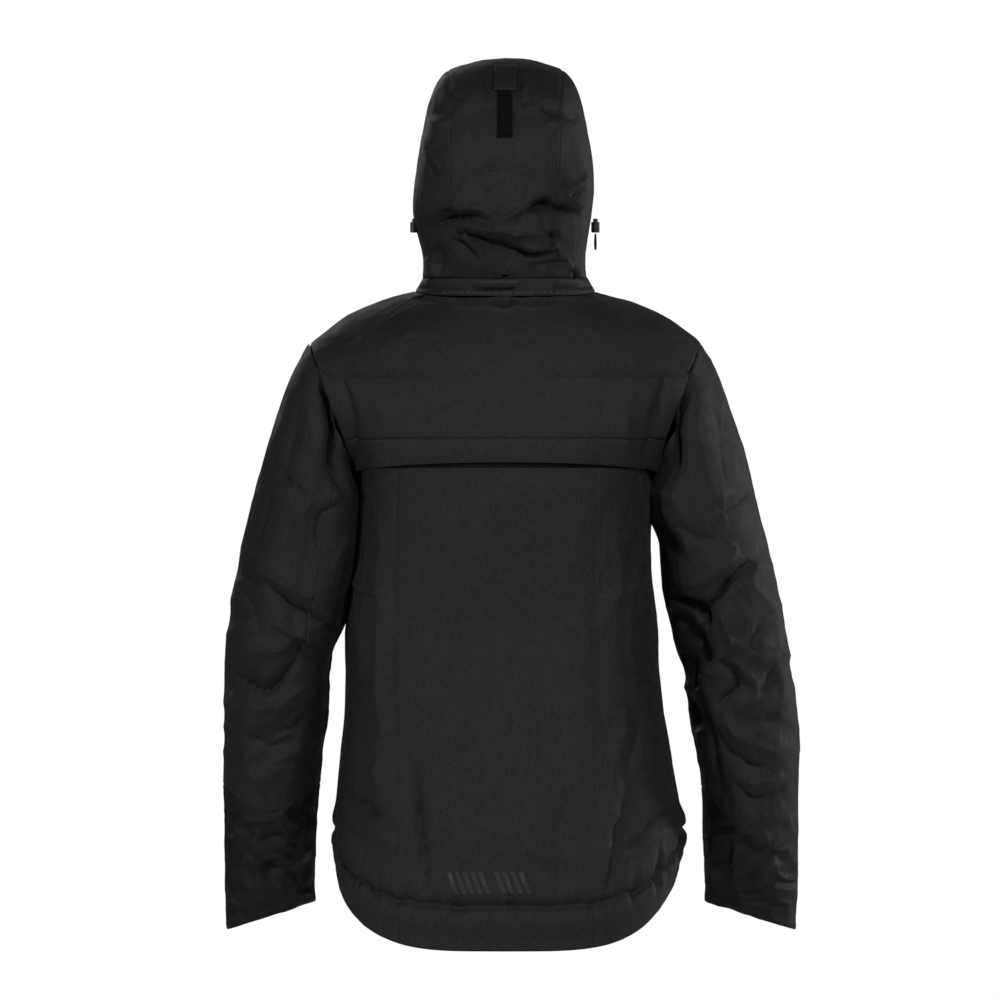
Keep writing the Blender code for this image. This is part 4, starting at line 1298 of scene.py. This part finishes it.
def add_vent_flap():
    """The flap's cloth below the yoke's seam. Its hinge line 12 mm below the seam is given, but the
    cloth is only baked in place.
    """
    top = torso(1, np.array(VENT_K), np.array(0.0))
    start = np.array((0.0, top[1], top[2]))
    end = start + np.array((0, 0.0, -0.012))
    add_panel("vent_flap_cloth", VENT, SHELL_SKINS, "vent_flap", "shell_cloth", "vent_flap",
              blend=("jacket", "vent_flap", start.tolist(), end.tolist()), shift=vent_shift,
              rims=(0, 0, 1, 1))


# ---------------------------------------------------------------- collar and hood
def collar_patch(half, low, high):
    """A panel as high as the collar. low is an angle for each height, and high one angle."""
    def base(u, v):
        phi = mix(low(v), high, u)
        return collar(half, v, phi), (v, phi)
    return Patch(base, collar_relief, inside_torso)


COLLAR_BACK = collar_patch(1, constant(-QUARTER), QUARTER)


def chin_patch(side):
    return collar_patch(-1, lambda v: side * np.arcsin(ZIP_HALF / mix(0.1, COLLAR_HALF, v)),
                        side * QUARTER)


def add_collar():
    add_panel("collar_back_panel", COLLAR_BACK, SHELL_SKINS, "jacket", "shell_cloth",
              "collar_back")
    for side, tag in TAGS:
        add_panel("chin_collar_" + tag, chin_patch(side), SHELL_SKINS, "jacket", "shell_cloth",
                  "chin_panel_" + tag)


def hood_patch(k_low, k_high, t_low, t_high):
    """A panel between two arches of the hood and two edges, which are places for each arch."""
    def base(u, v):
        k = mix(k_low, k_high, v)
        t = mix(t_low(k), t_high(k), u)
        return hood(k, t), (k, t)
    return Patch(base, hood_relief, inside_hood)


HOOD_START = np.array((0, 0.079, 0.0140))
HOOD_UP = np.array((0, 0.109, 0.994))


HOOD_BLEND = ("jacket", "hood", HOOD_START.tolist(), (HOOD_START + HOOD_UP * 0.075).tolist())
HOOD_CENTRE = hood_patch(BRIM_K, HOOD_LAST, lambda k: -hood_seam_t(k), hood_seam_t)
HOOD_BRIM = hood_patch(0.0, BRIM_K, lambda k: -hood_seam_t(k), hood_seam_t)


def hood_side_patch(side):
    return hood_patch(0.0, HOOD_LAST, lambda k: side * hood_seam_t(k), constant(float(side)))


def add_hood():
    def build(name, patch, node, **how):
        add_panel(name, patch, SHELL_SKINS, "hood", "shell_cloth", node, blend=HOOD_BLEND, **how)
    build("hood_crown_panel", HOOD_CENTRE, "hood_centre", roll=fading_roll)
    build("hood_brim_panel", HOOD_BRIM, "hood_brim")
    for side, tag in TAGS:
        build("hood_side_panel_" + tag, hood_side_patch(side), "hood_side_" + tag,
              roll=fading_roll)


def fading_roll(u, v):
    """The hood's seams flatten out where they run together at the nape."""
    return SEAM_ROLL * (1 - smooth(0.66, 0.80, v))


# Hood arches between which the hook tab lies, and how much it tilts.
TAB_ROWS = (4.02, 5.16)
TAB_TILT = 0.0015


def strip_grid(k_low, k_high, x_low, x_high, lift, nu, nv, tilt=0.0):
    """Points and normals of a strip that lies on the hood's centre line."""
    u, v = grid(nu + 1, nv + 1)
    k = mix(k_low, k_high, v)
    x = mix(x_low, x_high, u) + tilt * (v - 0.5)
    width = rows(HOOD, k)[..., 3] * MM
    t = x / (width * 0.25 * len(ARCH[1:]))
    p, place = hood(k, t), (k, t)
    dk = hood(k + 0.01, t) - hood(k - 0.01, t)
    dt = hood(k, t + 0.01) - hood(k, t - 0.01)
    n = outward(unit(np.cross(dt, dk)), p, inside_hood)
    d = hood_relief(p, n, place)
    return p + n * (d[..., None] + lift), n


def slab(name, points, normals, thick, mats):
    """A closed slab from a grid of points on its outer side."""
    nr, nc = points.shape[:2]
    count = nr * nc
    du = points[nr // 2, nc // 2] - points[nr // 2, nc // 2 - 1]
    dv = points[nr // 2, nc // 2] - points[nr // 2 - 1, nc // 2]
    flip = np.dot(np.cross(du, dv), normals[nr // 2, nc // 2]) < 0
    faces = quads(nr, nc, False, flip).tolist() + quads(nr, nc, False, not flip, count).tolist()
    rim = [(0, j) for j in range(nc)] + [(i, nc - 1) for i in range(1, nr)]
    rim += [(nr - 1, j) for j in range(nc - 2, -1, -1)] + [(i, 0) for i in range(nr - 2, 0, -1)]
    ids = [i * nc + j for i, j in rim]
    for a, b in zip(ids, ids[1:] + ids[:1]):
        faces.append(turned((a, a + count, b + count, b), flip))
    verts = np.concatenate([points.reshape(-1, 3), (points - normals * thick).reshape(-1, 3)])
    return mesh_object(name, verts, faces, mats)


def add_hood_trims():
    """The strip of loop pile on the crown, and the tab that closes on it."""
    p, n = strip_grid(5.00, 7.05, -0.0085, 0.0085, 0.0020, 48, 130)
    fuzz = hash01(*np.moveaxis(np.round(p * 20000).astype(np.int64), -1, 0), 5)
    edge = np.zeros(p.shape[:2])
    edge[0], edge[-1], edge[:, 0], edge[:, -1] = 1, 1, 1, 1
    p = p + n * (0.0011 * fuzz * (1 - edge))[..., None]
    declare(slab("loop_pile_strip", p, n, 0.0022, [PILE]), "hood", "loop_pile", "hood_loop_field")

    p, n = strip_grid(*TAB_ROWS, -0.0120, 0.0120, 0.0036, 14, 24, TAB_TILT)
    v = np.linspace(0, 1, p.shape[0])[:, None]
    puff = 0.0008 * np.sin(np.pi * np.clip(v * 1.1, 0, 1)) * np.ones((1, p.shape[1]))
    p = p + n * puff[..., None]
    declare(slab("hood_hook_tab", p, n, 0.0014, SHELL_SKINS), "hood_tab", "shell_cloth", "hood_tab")


def add_hanger():
    """A folded tape sewn at both ends under the hood seam, narrower at its ends."""
    low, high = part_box("hanger_loop")
    u, v = grid(61, 9)
    x = mix(low[0], high[0], u)
    middle = (low[0] + high[0]) / 2
    ends = np.minimum(u, 1 - u)
    bow = 0.0010 * np.sin(np.pi * u) ** 0.5
    z = mix(low[2] + 0.0008, high[2] - 0.0003, v) - 0.0012 * np.sin(np.pi * u) * (1 - v)
    squeeze = 1 - 0.28 * (1 - np.clip(ends / 0.08, 0, 1)) * (1 - v)
    x = middle + (x - middle) * squeeze
    y = high[1] + 0.0004 + bow - 0.0006 * np.cos(2 * np.pi * v)
    p = stack(x, y, z)
    n = np.broadcast_to(np.array((0.0, 1.0, 0.0)), p.shape)
    declare(slab("hanger_tape", p, n, 0.0011, [SHELL]), "hanger_loop", "shell_cloth", "hanger_loop")


# ---------------------------------------------------------------- sleeves
def sleeve_patch(side, k_low, k_high, low, high):
    """A panel between two angles of the sleeve, from one line of rows to the other."""
    def base(u, v):
        theta = mix(low, high, u)
        k = mix(k_low(theta), k_high(theta), v)
        return sleeve(side, k, theta), (k, theta)
    return Patch(base, sleeve_relief(side), inside_arm(side))


UNDERARM = {1: math.radians(114), -1: math.radians(138)}
FRONT_UNDERARM = math.radians(145)


def arm_blend(side, tag):
    """The bodies and the line, from the armhole outwards, of the sleeve top's blend from the body
    to the upper arm; the pieces given it are only baked in place.
    """
    start = np.array((side * 0.1945, 0.0, -0.134))
    away = np.array((side * 0.939, 0.0, -0.344))
    return ("jacket", "upper_arm_" + tag, start.tolist(), (start + away * 0.11).tolist())


def elbow_blend(side, tag):
    start = (side * 0.255, -0.02, -0.425)
    end = (side * 0.272, -0.04, -0.540)
    return ("upper_arm_" + tag, "lower_arm_" + tag, start, end)


def cuff_patch(side):
    return sleeve_patch(side, lambda theta: cuff_seam_k(side, theta), constant(CUFF_K), 0,
                        2 * math.pi)


def add_sleeve(side, tag):
    top = constant(0.0)
    elbow = constant(ELBOW_K)
    back = UNDERARM[side]
    upper = sleeve_patch(side, top, elbow, -FRONT_UNDERARM, back)
    under = sleeve_patch(side, top, elbow, back, 2 * math.pi - FRONT_UNDERARM)
    fore = sleeve_patch(side, elbow, lambda theta: cuff_seam_k(side, theta), 0, 2 * math.pi)
    arm = "upper_arm_" + tag
    for name, patch, node in (("upper_sleeve_panel_", upper, "upper_sleeve_"),
                              ("underarm_gusset_", under, "underarm_panel_")):
        add_panel(name + tag, patch, SHELL_SKINS, arm, "shell_cloth", node + tag,
                  blend=arm_blend(side, tag), rims=(1, 1, 1, 0))
    add_panel("forearm_panel_" + tag, fore, SHELL_SKINS, arm, "shell_cloth", "forearm_" + tag,
              blend=elbow_blend(side, tag), closed=True, rims=(0, 0, 0, 1))
    add_panel("cuff_panel_" + tag, cuff_patch(side), PANEL_SKINS, "lower_arm_" + tag,
              "panel_cloth", "cuff_" + tag, closed=True, rims=(0, 0, 1, 1))


def add_shade_gusset(side, tag):
    """The cloth that joins the sleeve to the body deep in the armhole. It is a real gusset, and it
    is also painted shade: it is cut from the darker panel cloth so that the armhole reads as a dark
    gap.
    """
    u, v = grid(16, 40)
    z = mix(-0.085, -0.255, v)
    x = mix(0.168, 0.224 - 0.012 * v, u)
    y = -0.006 - 0.008 * np.sin(math.pi * u) + 0.0012 * noise(stack(x, 0, z) / 0.02, 91)
    p = stack(side * x, y, z)
    # The darker panel cloth here is painted shade that darkens the deep armhole gap.
    obj = slab("armhole_shade_gusset_" + tag, p, np.broadcast_to((0.0, 1.0, 0.0), p.shape), 0.0009,
               PANEL_SKINS)
    declare(obj, None, "panel_cloth", blend=arm_blend(side, tag))


STRAP_ROWS = (12.85, 13.65)


def add_cuff_tab(side, tag):
    # The right cuff leans outward, so its strap starts nearer the middle.
    far = -22 if side > 0 else -34

    def base(u, v):
        theta = np.radians(mix(-100, far, u))
        k = mix(*STRAP_ROWS, v)
        return sleeve(side, k, theta), (k, theta)

    strap = Patch(base, sleeve_relief(side), inside_arm(side))
    p, n = strap.skin(*grid(40, 12), lift=0.0042)
    obj = slab("cuff_strap_" + tag, p, n, 0.0018, PANEL_SKINS)
    declare(obj, "cuff_tab_" + tag, "panel_cloth", "cuff_tab_" + tag)


# ---------------------------------------------------------------- seam tapes and stitching
def add_tape(name, patch, body, blend=None):
    """A thin sealing tape on the inner side of a seam."""
    add_panel(name, patch, (BACKER, BACKER), body, "panel_cloth", blend=blend,
              lift=-CLOTH - 0.0002, thick=0.0003, rims=(0, 0, 0, 0))


def strip_patch(half, k_low, k_high, phi_at):
    """A patch between two torso rows, whose angle phi_at gives for a row and a place across."""
    def base(u, v):
        k = mix(k_low, k_high, v)
        phi = phi_at(k, u)
        return torso(half, k, phi), (k, phi)
    return Patch(base, torso_relief(half), inside_torso)


def add_tapes():
    for side, tag in TAGS:
        def on_hood(u, v, side=side):
            k = mix(0.05, HOOD_LAST, v)
            t = side * (hood_seam_t(k) + mix(-0.07, 0.07, u))
            return hood(k, t), (k, t)

        def on_back(k, u, side=side):
            return side * (row_phi(BACK_SEAM_X[side], k) + mix(-0.05, 0.05, u))

        add_tape("hood_seam_tape_" + tag, Patch(on_hood, hood_relief, inside_hood), "hood",
                 HOOD_BLEND)
        add_tape("side_back_seam_tape_" + tag, strip_patch(1, 1.05, VENT_LOW_K - 0.1, on_back),
                 "jacket")
    hem = strip_patch(1, 0.86, 1.14, lambda k, u: mix(-QUARTER, QUARTER, u))
    add_tape("hem_channel_tape", hem, "jacket")


def line_on(patch, u, v, count=160):
    """Points and normals along a line of a panel. u and v are numbers or (from, to) pairs."""
    def spread(w):
        return np.linspace(*w, count) if isinstance(w, tuple) else np.full(count, float(w))
    return patch.skin(spread(u), spread(v))


def add_stitching():
    yoke_rows = [line_on(YOKE, (0.02, 0.98), v) for v in (0.016, 0.034)]
    add_stitches("vent_topstitch", yoke_rows, "jacket")
    hem_rows = []
    for side, tag in TAGS:
        cap_rows = [line_on(cap_patch(side), u, (0.04, 0.97)) for u in (0.975, 0.025)]
        add_stitches("shoulder_topstitch_" + tag, cap_rows, "jacket")
        seam_row = line_on(side_patch(side), 0.035, (0.02, 0.98), 240)
        add_stitches("side_back_topstitch_" + tag, [seam_row], "jacket")
        hem_rows += [line_on(hem_side_patch(side), (0.03, 0.97), v) for v in HEM_STITCH_V]
        hem_rows += [line_on(hem_front_patch(side), (0.04, 0.97), v) for v in HEM_STITCH_V]
    hem_rows += [line_on(HEM_MIDDLE, (0.01, 0.99), v) for v in HEM_STITCH_V]
    hem_rows += [line_on(BACK, (0.02, 0.98), 0.030)]
    add_stitches("hem_topstitch", hem_rows, "jacket")
    add_stitches("collar_topstitch", [line_on(COLLAR_BACK, (0.03, 0.97), 0.86)], "jacket")
    add_stitches("neck_bartacks", [line_on(COLLAR_BACK, (0.24, 0.76), 0.16, 60)], "jacket",
                 BAR_THREAD, length=0.0034, gap=0.0042, radius=0.0006)


def add_cuff_stitching(side, tag):
    cuff = cuff_patch(side)
    lines = [line_on(cuff, (0.0, 1.0), v, 200) for v in (0.90, 0.925, 0.022)]
    add_stitches("cuff_topstitch_" + tag, lines, "lower_arm_" + tag)
    theta = 0.16 if side > 0 else 0.20
    tacks = [line_on(cuff, u, (0.34, 0.44), 12) for u in (theta, theta + 0.03)]
    add_stitches("cuff_bartacks_" + tag, tacks, "lower_arm_" + tag, length=0.0020, gap=0.0003,
                 radius=0.0007)


def add_hood_stitching():
    p, n = strip_grid(4.93, 7.16, -0.0118, 0.0118, 0.0006, 10, 60)
    frame_lines = [(p[:, 0], n[:, 0]), (p[:, -1], n[:, -1]), (p[-1], n[-1]), (p[0], n[0])]
    add_stitches("loop_strip_topstitch", frame_lines, "hood")
    p, n = strip_grid(*TAB_ROWS, -0.0108, 0.0108, 0.0041, 10, 40, TAB_TILT)
    add_stitches("tab_topstitch", [(p[-3], n[-3]), (p[-5], n[-5]), (p[:, 0], n[:, 0]),
                                   (p[:, -1], n[:, -1])], "hood_tab")


# Each group of bars: from and to in metres, and how many. Then the torso rows they lie between.
PRINT_GROUPS = ((0.019, 0.063, 5), (-0.027, 0.010, 4))
PRINT_ROWS = (1.20, 1.56)


def add_reflective_print():
    """Two plain groups of slanted reflective bars above the hem."""
    made = []
    for low, high, count in PRINT_GROUPS:
        step = (high - low) / count
        for i in range(count):
            x = low + (i + 0.5) * step
            u, v = grid(8, 14)
            k = mix(*PRINT_ROWS, v)
            across = x + (u - 0.5) * 0.62 * step + 0.010 * (v - 0.5)
            phi = np.arcsin(across / (rows(TORSO, k)[..., 0] * MM))
            point = torso(1, k, phi)
            e = 0.004
            n = np.cross(torso(1, k, phi + e) - torso(1, k, phi - e),
                         torso(1, k + e, phi) - torso(1, k - e, phi))
            n = unit(n)
            n = n * np.sign(n[..., 1:2])
            d = BACK.relief(point, n, (k, phi))
            made.append(slab("bar", lean(point + n * (d[..., None] + 0.00025)), n, 0.0004,
                             [REFLECT]))
    join(made, "reflective_bars", "jacket", "panel_cloth")


def join(objects, name, body, slot):
    """Joins plain meshes of one material into one piece."""
    verts, faces, first = [], [], 0
    mat = objects[0].data.materials[0]
    for obj in objects:
        co = np.empty(len(obj.data.vertices) * 3)
        obj.data.vertices.foreach_get("co", co)
        verts.append(co.reshape(-1, 3))
        faces += [tuple(i + first for i in poly.vertices) for poly in obj.data.polygons]
        first += len(obj.data.vertices)
        bpy.data.objects.remove(obj)
    declare(mesh_object(name, np.concatenate(verts), faces, [mat]), body, slot)


# ---------------------------------------------------------------- zips, pockets and hard parts
# The share of a tooth's half width that its rounded edge takes.
BAR_EDGE = 0.3


def zip_axes():
    """Across, out and up of the front zip, which leans back as it goes up."""
    up = np.array((0, CHIN_Y - HEM_Y, CHIN_Z - HEM_Z))
    up /= np.linalg.norm(up)
    across = np.array((1.0, 0, 0))
    return across, np.cross(across, up), up


def zip_point(z):
    return np.array((0, zip_y(z), z))


def pocket_axes(side):
    """Middle, across, out and up of a hand pocket's straight zip, as the frame has it."""
    high = torso(-1, np.array(6.4), np.array(side * math.radians(38)))
    low = torso(-1, np.array(3.4), np.array(side * math.radians(52)))
    up = (high - low) / np.linalg.norm(high - low)
    mid = (high + low) / 2
    near = torso(-1, np.array(4.9), np.array(side * math.radians(45)))
    beside = torso(-1, np.array(4.9), np.array(side * math.radians(46)))
    out = np.cross(beside - near, up)
    out /= np.linalg.norm(out)
    out = out * (-1 if out[1] > 0 else 1)
    centre = mid + out * (max(0.0, float((near - mid) @ out)) + 0.0034)
    return centre, np.cross(out, up), out, up


def bar(centre, axes, size):
    """Vertices and faces of a small block with its long edges taken off."""
    a, b, c = [axis * half / 2 for axis, half in zip(axes, size)]
    q = 1 - BAR_EDGE
    outline = [(1, -q), (1, q), (q, 1), (-q, 1), (-1, q), (-1, -q), (-q, -1), (q, -1)]
    verts = [centre + a * x + b * y + c * z for z in (-1, 1) for x, y in outline]
    faces = [tuple(range(7, -1, -1)), tuple(range(8, 16))]
    faces += [(i, (i + 1) % 8, 8 + (i + 1) % 8, 8 + i) for i in range(8)]
    if np.dot(np.cross(axes[0], axes[1]), axes[2]) < 0:
        faces = [f[::-1] for f in faces]
    return verts, faces


def add_teeth(name, low, high, axes, reach, pitch):
    """Moulded teeth that mesh along a closed zip."""
    across, out, up = axes
    length = np.linalg.norm(high - low)
    count = int(length / pitch)
    verts, faces = [], []
    for i in range(count):
        side = 1 if i % 2 else -1
        centre = low + up * (i + 0.5) * pitch + across * side * reach * 0.30
        v, f = bar(centre, (across, out, up), (reach, 0.0016, pitch * 0.72))
        faces += [tuple(j + len(verts) for j in face) for face in f]
        verts += v
    obj = mesh_object(name, verts, faces, [MOULDED])
    obj.data.polygons.foreach_set("use_smooth", np.zeros(len(obj.data.polygons), bool))
    declare(obj, "jacket", "zip_tape")


def flat_strip(name, low, high, axes, x_low, x_high, out_at, thick, mat, slot, *nodes, wave=0.0,
               ease=0.0):
    """A long strip on a straight line, with slight waves and eased long edges."""
    across, out, up = axes
    length = np.linalg.norm(high - low)
    u, v = grid(13, max(12, int(length / 0.006)) + 1)
    lift = wave * np.sin(v * length / 0.045 * 2 * math.pi) * np.sin(math.pi * u)
    lift = lift - ease * np.abs(2 * u - 1) ** 6
    x = mix(x_low, x_high, u)
    p = (low + up * (v * length)[..., None] + across * x[..., None]
         + out * (out_at + lift)[..., None])
    obj = slab(name, p, np.broadcast_to(out, p.shape), thick, [mat])
    add_map(obj, np.tile(np.stack([x, v * length], -1).reshape(-1, 2), (2, 1)))
    declare(obj, "jacket", slot, *nodes)
    return obj


def add_front_zip():
    """The two tapes, the closed teeth, and the flap behind them."""
    axes = zip_axes()
    low, high = zip_point(HEM_Z + 0.004), zip_point(CHIN_Z - 0.001)
    for side, tag in TAGS:
        flat_strip("front_zip_tape_" + tag, low, high, axes, side * 0.0009, side * 0.0102,
                   -0.0004, 0.0010, TAPE, "zip_tape", "zip_tape_" + tag, ease=0.0003)
    add_teeth("front_zip_teeth", low, high, axes, 0.0030, 0.0019)
    obj = flat_strip("storm_flap_cloth", low, high, axes, -0.0145, 0.0145, -0.0033, 0.0013, PANEL,
                     "panel_cloth", "storm_flap", wave=0.0003, ease=0.0004)


def bag_patch(side):
    return strip_patch(-1, 1.7, 6.3, lambda k, u: side * np.radians(mix(24, 62, u)))


POCKET_HALF = 0.085
WELT_NEAR = 0.0050
WELT_FAR = 0.0098


def add_pockets(side, tag):
    """A hand pocket: its zip between two welts, a garage at each end, and its bag inside."""
    centre, across, out, up = pocket_axes(side)
    axes = (across, out, up)
    low, high = centre - up * POCKET_HALF, centre + up * POCKET_HALF
    flat_strip("pocket_zip_tape_" + tag, low, high, axes, -0.0066, 0.0066, 0.0004, 0.0011, TAPE,
               "zip_tape", "pocket_zip_" + tag, ease=0.0004)
    add_teeth("pocket_zip_teeth_" + tag, low, high, axes, 0.0024, 0.0016)
    for name, start, end in (("inner", -WELT_FAR, -WELT_NEAR), ("outer", WELT_NEAR, WELT_FAR)):
        flat_strip("pocket_welt_" + name + "_" + tag, low - up * 0.005, high + up * 0.005, axes,
                   start, end, 0.0012, 0.0034, SHELL, "shell_cloth", ease=0.0007)
    for name, place in (("top", high + up * 0.0055), ("foot", low - up * 0.0055)):
        flat_strip("pocket_garage_" + name + "_" + tag, place - up * 0.0055, place + up * 0.0055,
                   axes, -WELT_FAR, WELT_FAR, 0.0016, 0.0036, PANEL, "panel_cloth", ease=0.0008)
    add_panel("pocket_bag_cloth_" + tag, bag_patch(side), (MESH, MESH), "jacket", "mesh_cloth",
              "pocket_bag_" + tag, lift=-0.0062, thick=0.0016)


def finish_hard_parts():
    """The frame's own hard parts keep their shapes and get their finish."""
    for name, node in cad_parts.items():
        mat = None
        if "slider" in name or name == "zip_box":
            mat = METAL
        elif "puller" in name or "lock" in name or "button" in name:
            mat = MOULDED
        if mat:
            node.data.materials.clear()
            node.data.materials.append(mat)


add_studio()
add_hood_cord()
add_torso()
add_vent_flap()
add_collar()
add_hood()
add_hood_trims()
add_hanger()
add_tapes()
add_stitching()
add_hood_stitching()
add_reflective_print()
add_front_zip()
finish_hard_parts()
for side, tag in TAGS:
    add_sleeve(side, tag)
    add_shade_gusset(side, tag)
    add_cuff_tab(side, tag)
    add_cuff_stitching(side, tag)
    add_pockets(side, tag)
